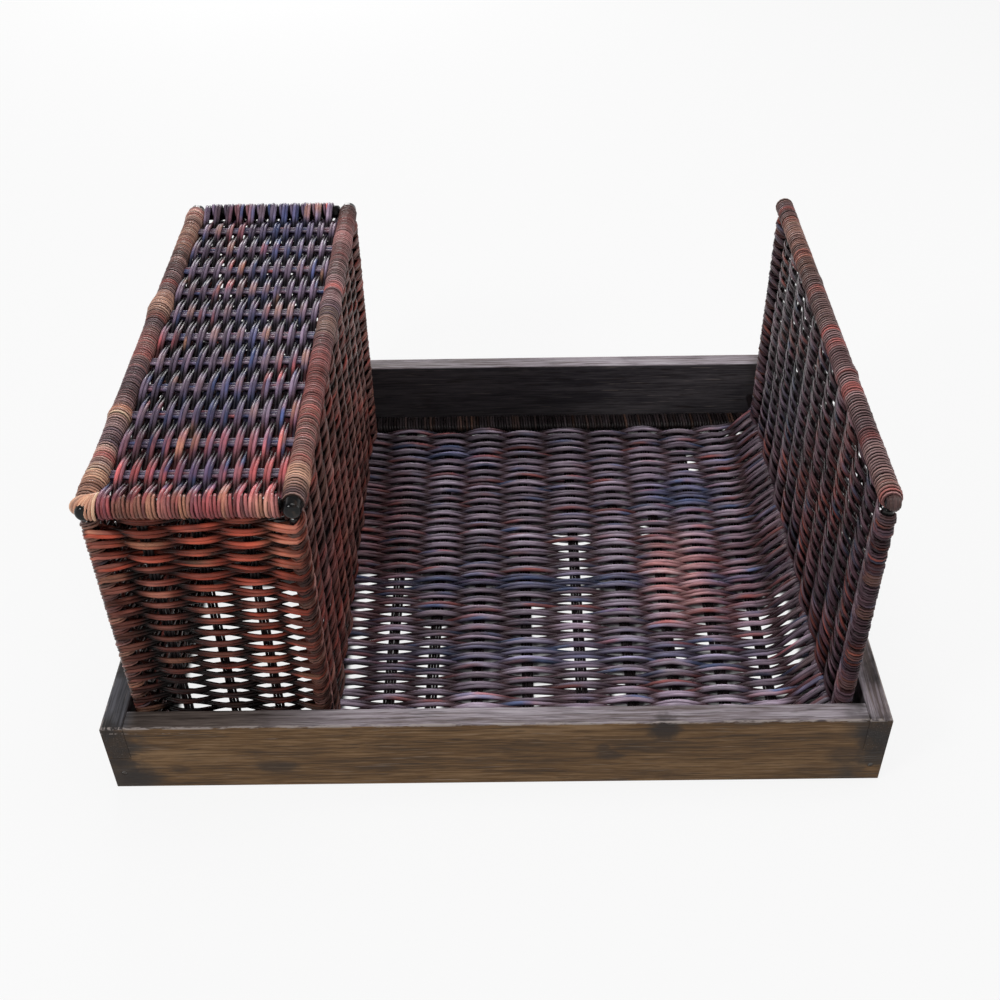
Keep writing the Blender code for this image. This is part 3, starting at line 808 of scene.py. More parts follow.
rail_low, rail_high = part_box("rail_front")
TOP_EDGE = rail_high.z
OUTER_X = rail_high.x
OUTER_Y = -rail_low.y
INNER_Y = -rail_high.y
INNER_X = -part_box("rail_left")[1].x
FACE = -OUTER_Y
BROWN_STOPS = [(0.40, (0.062, 0.032, 0.012)), (0.50, (0.150, 0.080, 0.032)), (0.60, (0.270, 0.165, 0.085))]
GREY_STOPS = [(0.40, (0.115, 0.088, 0.085)), (0.50, (0.270, 0.232, 0.258)), (0.60, (0.420, 0.380, 0.410))]
UMBER_STOPS = [(0.40, (0.040, 0.030, 0.026)), (0.60, (0.130, 0.102, 0.090))]
SLATE_STOPS = [(0.40, (0.040, 0.039, 0.045)), (0.60, (0.110, 0.109, 0.124))]
DARK_STOPS = [(0.40, (0.032, 0.029, 0.034)), (0.60, (0.100, 0.090, 0.096))]
GRIME = (0.026, 0.019, 0.016)
WEATHERED = (0.030, 0.027, 0.026)
STAIN = (0.020, 0.016, 0.015)
PORE = (0.018, 0.012, 0.009)
SCRATCH = (0.55, 0.47, 0.40)
WORN_EDGE = (0.36, 0.31, 0.29)
SCORED = (0.42, 0.36, 0.33)
STAINS = [
    ((0.1330, FACE, 0.0640), (0.0125, 0.012, 0.0115), 0.85),
    ((0.1200, FACE, 0.0480), (0.0300, 0.012, 0.0080), 0.25),
    ((0.0850, FACE, 0.0440), (0.0060, 0.012, 0.0035), 0.60),
    ((0.0910, FACE, 0.0340), (0.0110, 0.012, 0.0050), 0.55),
    ((-0.1760, FACE, 0.0240), (0.0170, 0.012, 0.0080), 0.65),
    ((-0.2550, FACE, 0.0230), (0.0080, 0.012, 0.0050), 0.45),
    ((-0.3010, FACE, 0.0520), (0.0130, 0.009, 0.0240), 0.85),
    ((0.3000, FACE, 0.0540), (0.0150, 0.010, 0.0220), 0.85),
    ((0.2800, FACE, 0.0300), (0.0160, 0.010, 0.0100), 0.50),
    ((-0.2880, FACE, 0.0120), (0.0180, 0.010, 0.0090), 0.65),
]

# The front's blue colour is near black and stands for painted shade low on the wall
front_finish = lacquered_strand(
    "front_rattan", (0.125, 0.028, 0.018), (0.370, 0.130, 0.098), (0.024, 0.006, 0.005),
    (0.440, 0.078, 0.046), (0.020, 0.011, 0.011), (0.640, 0.250, 0.155), shine=0.11,
)
side_finish = lacquered_strand(
    "side_rattan", (0.150, 0.060, 0.052), (0.230, 0.125, 0.112), (0.055, 0.015, 0.012),
    (0.220, 0.048, 0.038), (0.078, 0.060, 0.075), (0.440, 0.190, 0.135), shine=0.12,
)
top_finish = lacquered_strand(
    "top_rattan", (0.130, 0.092, 0.142), (0.215, 0.160, 0.210), (0.062, 0.036, 0.052),
    (0.400, 0.095, 0.100), (0.055, 0.072, 0.175), (0.640, 0.320, 0.250),
)
floor_finish = lacquered_strand(
    "floor_rattan", (0.270, 0.205, 0.268), (0.390, 0.335, 0.405), (0.130, 0.062, 0.070),
    (0.330, 0.100, 0.100), (0.115, 0.145, 0.280), (0.900, 0.380, 0.380), gap_shade=0.30,
)
panel_finish = lacquered_strand(
    "panel_rattan", (0.074, 0.038, 0.049), (0.130, 0.088, 0.108), (0.030, 0.010, 0.012),
    (0.180, 0.046, 0.036), (0.044, 0.050, 0.086), (0.360, 0.170, 0.130), shine=0.10,
)
peel_finish = lacquered_strand(
    "peel_rattan", (0.130, 0.070, 0.072), (0.340, 0.210, 0.205), (0.028, 0.009, 0.008),
    (0.340, 0.100, 0.090), (0.070, 0.052, 0.074), (0.800, 0.370, 0.240), worn=(0.88, 0.56, 0.42),
)
dark_finish = lacquered_strand(
    "dark_rattan", (0.018, 0.013, 0.014), (0.028, 0.022, 0.024), (0.010, 0.007, 0.007),
    (0.040, 0.016, 0.014), (0.020, 0.020, 0.030), (0.10, 0.05, 0.04),
)
pole_finish = black_pole("black_pole")
steel_finish = dull_steel("nail_steel_dull")
long_rail_finish = stained_wood("long_rail_wood", 0.0)
side_rail_finish = stained_wood("side_rail_wood", pi / 2)


def refinish(names, finish):
    """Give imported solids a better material."""
    for name in names:
        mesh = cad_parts[name].data
        mesh.materials.clear()
        mesh.materials.append(finish)


refinish(["rail_front", "rail_back"], long_rail_finish)
refinish(["rail_left", "rail_right"], side_rail_finish)
refinish([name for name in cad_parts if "nail" in name], steel_finish)
rods = [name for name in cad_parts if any(kind in name for kind in ("post", "top_rod", "border_rod"))]
refinish(rods, pole_finish)


# Box

POST_WRAP = POST + STRAND * 0.9
POLE_WRAP = POLE + STRAND * 0.9
WALL_HEIGHT = WALL_TOP - WALL_FOOT
SIDE_STAKES = 11
CROSS_STAKES = 3
FLOOR_STAKES = 9
TOP_WALL = WALL_TOP + POLE * 0.6

# How thick the spots of dye, tone and wear are, through a wall and through the flat top and floor
WALL_SPOT = 0.05
FLAT_SPOT = 0.1
RUB_SPOT = 0.02
ROD_SPOT = 0.03

FRONT_STAKES = [(0.0355, 0.0355), (0.0730, 0.0730), (0.1085, 0.1085)]
FRONT_LOOK = Look(
    swing=0.0033, wear=0.5, wrap_wear=0.2, red=0.30, blue=0.10, uneven=1.2, turn_tone=-0.25,
    girth=lambda level: np.interp(level, (0.05, 0.16, 0.26), (0.92, 1.00, 1.12)),
    patches=spots(1, FRONT, WALL_SPOT, [
        (RED, -0.180, 0.235, 0.070, 0.050, 0.80),
        (RED, -0.250, 0.240, 0.030, 0.016, 0.80),
        # SUN spots are painted sunlight on the top left corner, down the left edge and at the top right
        (SUN, -0.286, 0.266, 0.024, 0.010, 0.90),
        (SUN, -0.148, 0.245, 0.020, 0.034, 0.45),
        (SUN, -0.289, 0.200, 0.010, 0.070, 0.35),
        # BLUE spots: near-black painted shade on the lower part of the wall
        (BLUE, -0.230, 0.110, 0.080, 0.090, 0.75),
        (BLUE, -0.200, 0.055, 0.160, 0.075, 0.95),
    ]),
    rubs=[((-0.245, FRONT - 0.004, 0.246), (0.022, 0.012, 0.007), 0.9)],
    # Painted light at the top, and painted shade down the left column, low on the wall and in the right
    # corner column
    shades=spots(1, FRONT, WALL_SPOT, [
        (-0.210, 0.240, 0.120, 0.060, 0.14),
        (-0.286, 0.120, 0.034, 0.110, -0.30),
        (-0.210, 0.040, 0.160, 0.070, -0.28),
        (-0.136, 0.120, 0.022, 0.150, -0.42),
    ]),
    dips=[
        (2, 0.030, 0.026, -0.0085), (4, 0.032, 0.024, -0.0055), (6, 0.034, 0.022, -0.0030),
        (2, 0.110, 0.020, -0.0020),
    ],
)
SIDE_LOOK = Look(
    swing=0.0031, strand=0.00142, wear=0.2, wrap_wear=0.2, red=0.35, uneven=1.5, turn_tone=-0.22,
    patches=spots(0, RIGHT, WALL_SPOT, [
        (BLUE, -0.150, 0.150, 0.060, 0.060, 0.30),
        (RED, -0.100, 0.110, 0.140, 0.090, 0.50),
    ]),
)
BACK_LOOK = Look(wear=0.4, wrap_wear=0.5, red=0.30, blue=0.15)
LEFT_LOOK = Look(wear=0.5, wrap_wear=0.6, red=0.30, blue=0.15)


def build_box_wall(side, start, run, stakes, finish, corners, seed, look):
    """One wall of the box: rows, and the stakes with their foot rod."""
    name = "box_" + side
    length = WIDTH if run.y == 0 else DEPTH
    place = Vector((*start, 0))
    wall = Wall(place, run, Z, length, stakes, WALL_FOOT, WALL_HEIGHT, (POST_WRAP, POST_WRAP), (0, 0))
    strand_piece(name + "_rows", weave(wall, seed, look), finish, [name + "_weave"] + corners)
    lines = stake_lines(wall, seed + 50, FLOOR_LEVEL, TOP_WALL)
    centre = middle(name + "_stakes")
    reach = np.array(run) * np.dot(np.array(half_size(name + "_stakes")), np.abs(np.array(run)))
    foot = np.array((centre.x, centre.y, FLOOR_LEVEL))
    lines.append(pole_line(foot - reach, foot + reach, FOOT_ROD))
    strand_piece(name + "_stake_rods", lines, dark_finish, [name + "_stakes"])


long_stakes = even(DEPTH, SIDE_STAKES)
front_corners = ["box_corner_front_left", "box_corner_front_right"]
back_corners = ["box_corner_back_left", "box_corner_back_right"]
build_box_wall("front", (LEFT, FRONT), X, FRONT_STAKES, front_finish, front_corners, 11, FRONT_LOOK)
build_box_wall("right", (RIGHT, FRONT), Y, long_stakes, side_finish, [], 12, SIDE_LOOK)
build_box_wall("back", (RIGHT, BACK), -X, even(WIDTH, CROSS_STAKES), side_finish, back_corners, 13, BACK_LOOK)
build_box_wall("left", (LEFT, BACK), -Y, long_stakes, side_finish, [], 14, LEFT_LOOK)

DIVIDER = middle("divider_weave").y
END_ROOM = 0.0082
END_ROD = 0.0017
END_WRAP = 0.0031
FOOT_ROOM = 0.005
DIVIDER_WIDTH = WIDTH - 2 * END_ROOM
divider_wall = Wall(
    Vector((LEFT + END_ROOM, DIVIDER, 0)), X, Z, DIVIDER_WIDTH, even(DIVIDER_WIDTH, CROSS_STAKES), WALL_FOOT,
    WALL_HEIGHT, (END_WRAP, END_WRAP), (0, 0),
)
divider_rows = weave(divider_wall, 15, Look(wear=0.1))
strand_piece("divider_rows", divider_rows, side_finish, ["divider_weave"])
divider_stakes = stake_lines(divider_wall, 65, FLOOR_LEVEL, TOP_LEVEL - SWING - STAKE_ROD * 2)
foot_left = (LEFT + FOOT_ROOM, DIVIDER, FLOOR_LEVEL)
foot_right = (RIGHT - FOOT_ROOM, DIVIDER, FLOOR_LEVEL)
divider_stakes.append(pole_line(foot_left, foot_right, FOOT_ROD))
for end in (LEFT + END_ROOM, RIGHT - END_ROOM):
    divider_stakes.append(pole_line((end, DIVIDER, FLOOR_LEVEL), (end, DIVIDER, WALL_TOP), END_ROD))
strand_piece("divider_stake_rods", divider_stakes, dark_finish, ["divider_stakes"])

# Top of the box: its rows run from the back rod to the front rod
TOP_SIDE_ROOM = POLE + PEEL * 2 + 0.0002
TOP_FACE = TOP_LEVEL + 0.003
TOP_EDGE_Y = FRONT - 0.004
TOP_LOOK = Look(
    swing=0.0031, wear=0.75, wrap_wear=0.5, red=0.10, blue=0.16,
    patches=spots(2, TOP_FACE, FLAT_SPOT, [
        (BLUE, -0.200, 0.000, 0.018, 0.210, 0.75),
        (BLUE, -0.190, 0.165, 0.034, 0.060, 0.80),
        (BLUE, -0.214, -0.120, 0.011, 0.040, 0.90),
        (BLUE, -0.183, -0.117, 0.006, 0.040, 0.90),
        (BLUE, -0.207, -0.200, 0.020, 0.040, 0.90),
        (BLUE, -0.237, -0.121, 0.006, 0.030, 0.90),
        (RED, -0.250, -0.202, 0.014, 0.030, 1.00),
        (RED, -0.227, -0.204, 0.007, 0.030, 0.90),
        (RED, -0.160, -0.200, 0.022, 0.040, 1.00),
        (RED, -0.238, 0.170, 0.014, 0.060, 0.60),
        (RED, -0.150, -0.150, 0.010, 0.060, 0.60),
        (RED, -0.200, -0.185, 0.120, 0.060, 0.70),
    ]) + [
        (RED, (-0.210, TOP_EDGE_Y, TOP_LEVEL), (0.160, 0.016, 0.020), 1.20),
        (BLUE, (-0.210, TOP_EDGE_Y, TOP_LEVEL), (0.160, 0.016, 0.020), -2.00),
        # SUN spots on the front winding are painted sunlight
        (SUN, (-0.232, TOP_EDGE_Y, TOP_LEVEL), (0.016, 0.012, 0.014), 0.50),
        (SUN, (-0.158, TOP_EDGE_Y, TOP_LEVEL), (0.020, 0.012, 0.014), 0.60),
    ],
    rubs=spots(2, TOP_FACE, RUB_SPOT, [
        (-0.2231, -0.1465, 0.004, 0.013, 1.0),
        (-0.2276, -0.1660, 0.004, 0.013, 1.0),
        (-0.2500, -0.0270, 0.004, 0.009, 0.9),
        (-0.2448, -0.0800, 0.003, 0.009, 0.7),
        (-0.2670, 0.0750, 0.003, 0.009, 0.9),
        (-0.1500, 0.0790, 0.003, 0.010, 0.9),
        (-0.1640, 0.1980, 0.003, 0.010, 0.9),
        (-0.1838, 0.0395, 0.003, 0.008, 0.9),
    ]) + spots(1, TOP_EDGE_Y, 0.014, [
        (-0.2340, TOP_LEVEL, 0.005, 0.02, 0.9),
        (-0.2110, TOP_LEVEL, 0.005, 0.02, 0.9),
        (-0.1830, TOP_LEVEL, 0.003, 0.02, 0.7),
        (-0.1570, TOP_LEVEL, 0.006, 0.02, 0.7),
    ]),
    shades=[((-0.210, TOP_EDGE_Y, TOP_LEVEL), (0.160, 0.016, 0.020), -0.12)],
)
top_wall = Wall(
    Vector((LEFT, BACK, TOP_LEVEL)), -Y, X, DEPTH, long_stakes, TOP_SIDE_ROOM, WIDTH - 2 * TOP_SIDE_ROOM,
    (POLE_WRAP, POLE_WRAP), (1, 1), pitch=TOP_PITCH,
)
strand_piece(
    "box_top_rows", weave(top_wall, 21, TOP_LOOK), top_finish,
    ["box_top_weave", "box_top_wrap_front", "box_top_wrap_back"], 8,
)
top_stakes = stake_lines(top_wall, 71, 0.0, WIDTH, 3, TOP_ROD, 0.42, (0.1, 0.25))
ROD_FRONT, ROD_BACK = (corner.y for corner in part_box("box_top_stakes"))
strand_piece("box_top_stake_rods", top_stakes, top_finish, ["box_top_stakes"])


def rod_spots(across, rows):
    """Spots of dye on a winding at the level of the top, from (channel, place, reach, amount)."""
    return [
        (channel, (across, along, TOP_LEVEL), (ROD_SPOT, reach, ROD_SPOT), amount)
        for channel, along, reach, amount in rows
    ]


LEFT_SWELLS = [
    (-0.210, 0.0016, 0.020), (-0.124, 0.0012, 0.006), (0.027, 0.0024, 0.014), (0.190, 0.0010, 0.008),
]
RIGHT_SWELLS = [
    (-0.020, 0.0006, 0.006), (0.028, 0.0012, 0.009), (0.140, 0.0006, 0.008), (-0.205, 0.0010, 0.014),
]
# SUN spots on both windings are painted sunlight
LEFT_PATCHES = rod_spots(LEFT, [
    (SUN, -0.210, 0.032, 1.0),
    (BLUE, -0.155, 0.022, 0.7),
    (SUN, -0.124, 0.010, 0.9),
    (BLUE, -0.080, 0.035, 0.6),
    (RED, -0.030, 0.030, 0.6),
    (BLUE, 0.000, 0.012, 0.7),
    (SUN, 0.030, 0.022, 0.9),
    (SUN, 0.150, 0.060, 0.5),
])
RIGHT_PATCHES = rod_spots(RIGHT, [
    (SUN, -0.203, 0.018, 1.0),
    (RED, -0.110, 0.100, 1.0),
    (BLUE, 0.010, 0.026, 0.8),
    (RED, 0.150, 0.060, 0.4),
])
LEFT_RUBS = [
    ((LEFT - 0.004, -0.170, TOP_LEVEL), (0.02, 0.008, 0.02), 1.0),
    ((LEFT, 0.024, TOP_LEVEL), (0.02, 0.012, 0.02), 0.8),
]
RIGHT_RUBS = [((RIGHT, -0.206, TOP_LEVEL), (0.02, 0.014, 0.02), 0.7)]
for name, across, seed, swells, patches, rubs in (
    ("left", LEFT, 31, LEFT_SWELLS, LEFT_PATCHES, LEFT_RUBS),
    ("right", RIGHT, 32, RIGHT_SWELLS, RIGHT_PATCHES, RIGHT_RUBS),
):
    low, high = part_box("box_top_binding_" + name)
    swells = [(place - low.y, height, width) for place, height, width in swells]
    line = coil(
        (across, low.y, TOP_LEVEL), Y, high.y - low.y, POLE + PEEL * 0.9, seed, lean=0.0012, swells=swells,
        tone=0.48, wear=0.45, patches=patches, rubs=rubs,
    )
    binding = ["box_top_binding_" + name]
    strand_piece("box_top_winding_" + name, [line], peel_finish, binding, 8)


def turned_pole(name, start, end, radius, soft):
    """A pole with rounded ends, spun from its profile."""
    bm = bmesh.new()
    length = (end - start).length
    turns = [pi * step / 10 for step in range(6)]
    near = [(0.0, 0.0)] + [(radius - soft + soft * sin(turn), soft - soft * cos(turn)) for turn in turns]
    profile = near + [(out, length - along) for out, along in near[::-1]]
    verts = [bm.verts.new((out, 0, along)) for out, along in profile]
    edges = [bm.edges.new(pair) for pair in zip(verts, verts[1:])]
    bmesh.ops.spin(
        bm, geom=verts + edges, cent=(0, 0, 0), axis=(0, 0, 1), angle=2 * pi, steps=24, use_merge=True,
    )
    bmesh.ops.remove_doubles(bm, verts=bm.verts, dist=1e-6)
    bmesh.ops.recalc_face_normals(bm, faces=bm.faces)
    turn = (end - start).to_track_quat("Z", "Y").to_matrix().to_4x4()
    bmesh.ops.transform(bm, matrix=Matrix.Translation(start) @ turn, verts=bm.verts)
    mesh = bpy.data.meshes.new(name)
    bm.to_mesh(mesh)
    bm.free()
    mesh.shade_smooth()
    mesh.materials.append(pole_finish)
    piece = bpy.data.objects.new(name, mesh)
    bpy.context.scene.collection.objects.link(piece)
    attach(piece, "root")
    return piece


POLE_END = POLE + 0.0008
POLE_SOFT = 0.0035
left_ends = Vector((LEFT, ROD_FRONT - 0.001, TOP_LEVEL)), Vector((LEFT, ROD_BACK, TOP_LEVEL))
right_ends = Vector((RIGHT, ROD_FRONT - 0.001, TOP_LEVEL)), Vector((RIGHT, ROD_BACK, TOP_LEVEL))
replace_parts(turned_pole("box_top_pole_left", *left_ends, POLE_END, POLE_SOFT), "box_top_stakes")
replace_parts(turned_pole("box_top_pole_right", *right_ends, POLE_END, POLE_SOFT), "box_top_rod_right")


def crossing(name, centres, sides, reaches, seed, sun, tone, stands_for):
    """Strands that cross the end of a rod, from its top over the outside and down below it."""
    rng = np.random.default_rng(seed)
    lines = []
    for centre, side, reach in zip(centres, sides, reaches):
        turns = [pi * (0.88 - 1.02 * step / 12) for step in range(13)]
        points = [centre + side * (reach * 1.15 * cos(turn)) + Z * (reach * sin(turn)) for turn in turns]
        # Painted sunlight on each crossing strand
        dye = np.zeros((len(points), 3))
        dye[:, SUN] = rng.uniform(sun - 0.2, sun)
        width = PEEL * rng.uniform(0.95, 1.15)
        lines.append(Line(points, width, rng.normal(tone, 0.12), rng.random() * 0.4 * sun, dye))
    strand_piece(name, lines, peel_finish, stands_for, 8)


# The tan strands that cross the front left corner, fanned from the side to the front; their tan is painted
# sunlight with some wear
CORNER_STRANDS = 8
shares = [number / (CORNER_STRANDS - 1) for number in range(CORNER_STRANDS)]
crossing(
    "corner_crossing",
    [Vector((LEFT - 0.0005 + 0.0085 * share, FRONT + 0.002 - 0.0015 * share, TOP_LEVEL)) for share in shares],
    [Vector((-1 + 0.95 * share, -0.25 - 0.75 * share, 0)).normalized() for share in shares],
    [POLE + PEEL * 2.2] * CORNER_STRANDS, 35, 1.0, 0.5, ["box_top_binding_left"],
)

# Side panel
PANEL_DEPTH = PANEL_BACK.y - PANEL_FRONT.y
PANEL_LOOK = Look(
    wear=0.15, wrap_wear=0.25, red=0.22, blue=0.12, uneven=1.6, strand=0.00138, swing=0.0031,
    patches=spots(0, PANEL_X, WALL_SPOT, [
        (RED, -0.125, 0.215, 0.050, 0.070, 0.75),
        (RED, -0.060, 0.120, 0.060, 0.080, 0.45),
        (BLUE, 0.056, 0.150, 0.060, 0.060, 0.55),
        (BLUE, 0.130, 0.090, 0.050, 0.050, 0.50),
    ]),
)
panel_wall = Wall(
    Vector((PANEL_X, PANEL_FRONT.y, 0)), Y, Z, PANEL_DEPTH, even(PANEL_DEPTH, SIDE_STAKES), PANEL_WALL_FOOT,
    WALL_TOP - PANEL_WALL_FOOT, (POST_WRAP, POST_WRAP), (1, 1), first_front=False, pitch=0.0055,
)
strand_piece(
    "panel_rows", weave(panel_wall, 41, PANEL_LOOK), panel_finish,
    ["panel_weave", "panel_corner_front", "panel_corner_back"],
)
panel_stakes = stake_lines(panel_wall, 91, PANEL_FOOT, TOP_LEVEL)
foot_ends = [(PANEL_X, corner.y, PANEL_FOOT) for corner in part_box("panel_stakes")]
panel_stakes.append(pole_line(*foot_ends, EDGE_ROD))
strand_piece("panel_stake_rods", panel_stakes, dark_finish, ["panel_stakes"])
low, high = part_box("panel_top_binding")
panel_line = coil(
    (PANEL_X, low.y, TOP_LEVEL), Y, high.y - low.y, POLE + PEEL * 0.7, 33, pitch=0.0032, lean=0.0010,
    swells=[(0.0, -0.0035, 0.004), (0.010, 0.0006, 0.006), (0.155, 0.0010, 0.006), (0.295, 0.0008, 0.005)],
    tone=0.42, wear=0.3, red=0.3,
    # The SUN spot is painted sunlight
    patches=rod_spots(PANEL_X, [(SUN, 0.120, 0.070, 0.35), (BLUE, -0.170, 0.040, 0.4)]),
)
strand_piece("panel_top_winding", [panel_line], peel_finish, ["panel_top_binding"], 8)

# The strands that cross the front end of the panel's rod, side by side as a small knob
END_STRANDS = 7
END_REACH = POLE * 0.6 + PEEL
offsets = [(2 * number / (END_STRANDS - 1) - 1) * POLE * 0.62 for number in range(END_STRANDS)]
rod_end = Vector((PANEL_X, low.y + 0.002, TOP_LEVEL))
crossing(
    "panel_end_crossing", [rod_end + X * offset for offset in offsets], [-Y] * END_STRANDS,
    [(END_REACH ** 2 - offset ** 2) ** 0.5 for offset in offsets], 36, 0.10, -0.10, ["panel_top_binding"],
)

# Floor: its rows run from the box's foot to the panel's foot and climb over the last bay
floor_length = PANEL_X - RIGHT
floor_step = floor_length / (FLOOR_STAKES + 1)
FLOOR_PLACES = [
    (-0.0935, -0.0920), (-0.0577, -0.0502), (-0.0177, -0.0127), (0.0270, 0.0272), (0.0735, 0.0760),
    (0.1170, 0.1172), (0.1535, 0.1585), (0.1960, 0.1962), (0.2360, 0.2362),
]
FLOOR_OPEN = [
    (-0.0930, -0.240, -0.016, OPEN_SWING), (-0.0560, -0.240, -0.082, OPEN_SWING),
    (0.0270, -0.094, -0.057, OPEN_SWING), (0.0270, -0.240, -0.154, OPEN_SWING),
    (0.0740, -0.240, 0.020, OPEN_SWING), (0.1170, -0.165, -0.150, 0.0032),
    (0.1560, 0.040, 0.054, 0.0030), (0.1550, -0.125, -0.100, 0.0030),
    (0.1960, -0.109, -0.085, OPEN_SWING), (0.1960, 0.138, 0.165, OPEN_SWING),
    (0.2360, -0.165, -0.070, 0.0030),
]
FLOOR_LOOK = Look(
    swing=FLOOR_SWING, strand=0.00174, wear=0.12, wrap_wear=0.1, red=0.16, blue=0.12, uneven=1.15,
    open_places=[(place - RIGHT, low, high, less) for place, low, high, less in FLOOR_OPEN],
    patches=spots(2, FLOOR_LEVEL, FLAT_SPOT, [
        # The SUN spot is a painted patch of sunlight
        (SUN, 0.170, -0.020, 0.036, 0.075, 0.95),
        (RED, 0.190, -0.030, 0.070, 0.090, 0.60),
        (BLUE, 0.060, -0.027, 0.300, 0.012, 0.95),
        (BLUE, 0.060, -0.120, 0.260, 0.020, 0.65),
        (BLUE, 0.190, 0.100, 0.055, 0.040, 0.80),
        (BLUE, -0.050, 0.170, 0.050, 0.016, 0.80),
        (RED, -0.110, 0.020, 0.040, 0.160, 0.60),
        (RED, 0.262, 0.000, 0.040, 0.220, 0.30),
    ]),
    # Painted shade on the floor next to the panel, next to the box and along the back
    shades=spots(2, FLOOR_LEVEL, FLAT_SPOT, [
        (0.285, 0.000, 0.048, 0.400, -0.42),
        (-0.125, 0.080, 0.060, 0.260, -0.22),
        (0.080, 0.220, 0.300, 0.070, -0.16),
    ]),
)
BOX_FOOT_WRAP = 0.0042
PANEL_FOOT_WRAP = 0.0056
floor_places = [(near - RIGHT, far - RIGHT) for near, far in FLOOR_PLACES]
floor_wall = Wall(
    Vector((RIGHT, 0, FLOOR_LEVEL)), X, Y, floor_length, floor_places, FLOOR_NEAR, FLOOR_FAR - FLOOR_NEAR,
    (BOX_FOOT_WRAP, PANEL_FOOT_WRAP), (0, 1),
    climb=(floor_length - floor_step * 0.9, PANEL_FOOT - FLOOR_LEVEL),
)
floor_rows = weave(floor_wall, 51, FLOOR_LOOK)
strand_piece("floor_rows", floor_rows, floor_finish, ["floor_weave", "floor_edge_weave"])
floor_low, floor_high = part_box("floor_stakes")
floor_stakes = stake_lines(floor_wall, 101, floor_low.y + 0.003, floor_high.y, 4)
front_rod_line = floor_low.y + 0.0045
front_rod = (floor_low.x + 0.006, front_rod_line, FLOOR_LEVEL), (floor_high.x, front_rod_line, FLOOR_LEVEL)
floor_stakes.append(pole_line(*front_rod, EDGE_ROD))
strand_piece("floor_stake_rods", floor_stakes, dark_finish, ["floor_stakes"])
BORDER_ROUND = 0.0048
low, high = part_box("floor_binding_back")
border = band_coil(
    (low.x + PEEL, (low.y + high.y) / 2, FLOOR_LEVEL), X, high.x - low.x - 2 * PEEL,
    (high.y - low.y) / 2 - BORDER_ROUND, BORDER_ROUND - PEEL * 0.8, 61, pitch=0.0030, wire=0.0014,
)
strand_piece("floor_border_winding", [border], dark_finish, ["floor_binding_back"])


# Floor of the room, light and camera

def seen_rays(tree):
    """1 for rays that come from the camera straight, by reflection or through glass."""
    path = put(tree, "ShaderNodeLightPath")
    seen = maths(tree, "ADD", path.outputs["Is Camera Ray"], path.outputs["Is Glossy Ray"])
    return maths(tree, "ADD", seen, path.outputs["Is Transmission Ray"], clamp=True)


def block(tree, parts, across, along, soft):
    """1 inside a rectangle on the ground, with soft edges."""
    sides = []
    for part, (low, high) in zip(parts, (across, along)):
        away = maths(tree, "ABSOLUTE", minus(tree, part, (low + high) / 2))
        sides.append(span(tree, away, (high - low) / 2 + soft / 2, (high - low) / 2 - soft / 2))
    return times(tree, *sides)


# Under the tray the floor lies in its shadow, apart from painted glow patches where the photograph is white
# through
# the weave: under the box's front pocket and under the open places of the floor
PAINTED_GLOW_UNDER = [
    ((-0.275, -0.142), (-0.225, -0.022)), ((-0.132, -0.074), (-0.236, -0.006)),
    ((-0.074, -0.048), (-0.236, -0.074)), ((0.032, 0.050), (-0.098, -0.050)),
    ((0.032, 0.050), (-0.236, -0.148)), ((0.054, 0.096), (-0.236, 0.052)),
    ((0.102, 0.112), (-0.165, -0.148)), ((0.138, 0.150), (0.044, 0.062)),
    ((0.160, 0.176), (-0.128, -0.096)), ((0.182, 0.198), (-0.112, -0.078)),
    ((0.198, 0.214), (0.140, 0.172)), ((0.218, 0.254), (-0.165, -0.062)),
    ((0.252, 0.272), (-0.132, -0.040)), ((0.250, 0.266), (0.206, 0.226)),
]


# The ground's half width and its drop below the tray, and how far it glows white to the camera
GROUND_HALF = 6.0
GROUND_DROP = 0.0003
GLOW = 0.88
# The soft light from all round, and the darker ceiling that the camera and the lacquer see
FILL = 0.28
CEILING = 0.22


def build_ground():
    """A pale floor that looks near white to the camera and keeps the object's shadow under the tray."""
    bm = bmesh.new()
    bmesh.ops.create_grid(bm, x_segments=1, y_segments=1, size=GROUND_HALF)
    bmesh.ops.translate(bm, verts=bm.verts, vec=(0, 0, -GROUND_DROP))
    mesh = bpy.data.meshes.new("ground")
    bm.to_mesh(mesh)
    bm.free()
    ground = bpy.data.objects.new("ground", mesh)
    bpy.context.scene.collection.objects.link(ground)
    material = bpy.data.materials.new("pale_ground")
    material.use_nodes = True
    tree = material.node_tree
    tree.nodes.remove(tree.nodes["Principled BSDF"])
    matt = put(tree, "ShaderNodeBsdfDiffuse", {"Color": (0.60, 0.60, 0.60, 1.0)})
    glow = put(tree, "ShaderNodeEmission", {"Color": (1, 1, 1, 1), "Strength": 1.0})
    parts = parts_of(tree, object_place(tree))
    wide, deep = OUTER_X - 0.01, OUTER_Y - 0.01
    under = block(tree, parts, (-wide, wide), (-deep, deep), 0.004)
    pale = minus(tree, 1.0, under)
    # Painted glow over the tray's shadow in these patches
    for across, along in PAINTED_GLOW_UNDER:
        pale = maths(tree, "MAXIMUM", pale, block(tree, parts, across, along, 0.006))
    share = times(tree, times(tree, seen_rays(tree), GLOW), pale)
    mixed = put(tree, "ShaderNodeMixShader", {0: share, 1: matt.outputs[0], 2: glow.outputs[0]})
    tree.links.new(mixed.outputs[0], tree.nodes["Material Output"].inputs["Surface"])
    mesh.materials.append(material)


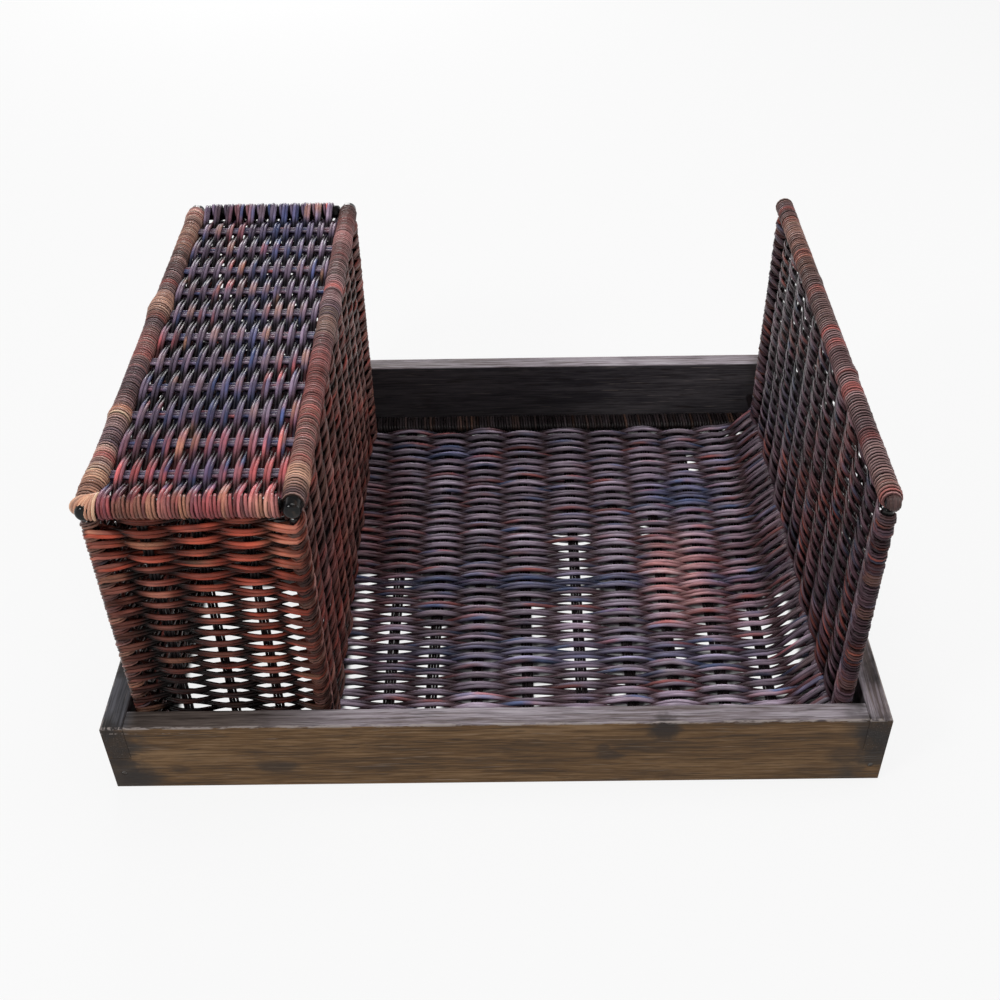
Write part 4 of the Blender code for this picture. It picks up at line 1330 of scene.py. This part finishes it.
def build_world():
    """White behind the object with a darker ceiling, and a soft grey light from all round."""
    world = bpy.data.worlds.new("studio")
    bpy.context.scene.world = world
    world.use_nodes = True
    tree = world.node_tree
    background = tree.nodes["Background"]
    background.inputs["Color"].default_value = (1, 1, 1, 1)
    height = parts_of(tree, put(tree, "ShaderNodeTexCoord").outputs["Generated"])[2]
    sky = span(tree, height, 0.15, 0.60, 1.0 - FILL, CEILING - FILL)
    strength = maths(tree, "ADD", times(tree, seen_rays(tree), sky), FILL)
    tree.links.new(strength, background.inputs["Strength"])


def add_lamp(name, place, aim, size, power):
    """A square soft lamp."""
    light = bpy.data.lights.new(name, "AREA")
    light.shape = "SQUARE"
    light.size = size
    light.energy = power
    lamp = bpy.data.objects.new(name, light)
    lamp.location = place
    lamp.rotation_euler = (Vector(aim) - Vector(place)).to_track_quat("-Z", "Y").to_euler()
    bpy.context.scene.collection.objects.link(lamp)


SENSOR, LENS = 36.0, 46.05
CAMERA_PLACE = (0.0148, -0.9064, 0.8488)
PITCH, YAW, ROLL = 0.6993, 0.0115, -0.0203


def build_camera():
    """The photograph's viewpoint, from the fit of the tray's corners and edges."""
    data = bpy.data.cameras.new("camera")
    data.sensor_width = SENSOR
    data.lens = LENS
    camera = bpy.data.objects.new("camera", data)
    tilt = Matrix.Rotation(pi / 2 - PITCH, 3, "X")
    turn = Matrix.Rotation(YAW, 3, "Z") @ tilt @ Matrix.Rotation(ROLL, 3, "Z")
    camera.matrix_world = Matrix.Translation(CAMERA_PLACE) @ turn.to_4x4()
    bpy.context.scene.collection.objects.link(camera)
    bpy.context.scene.camera = camera


build_ground()
build_world()
add_lamp("key", (-1.3, -1.2, 1.6), (0, 0, 0.1), 0.45, 18)
add_lamp("top", (0.1, 0.1, 2.2), (0.05, 0, 0), 1.2, 20)
add_lamp("back", (-0.5, 2.1, 0.75), (0, 0, 0.2), 0.9, 18)
add_lamp("right", (1.7, 0.1, 1.0), (0, 0, 0.1), 1.0, 7)
build_camera()
bpy.context.scene.view_settings.view_transform = "Standard"
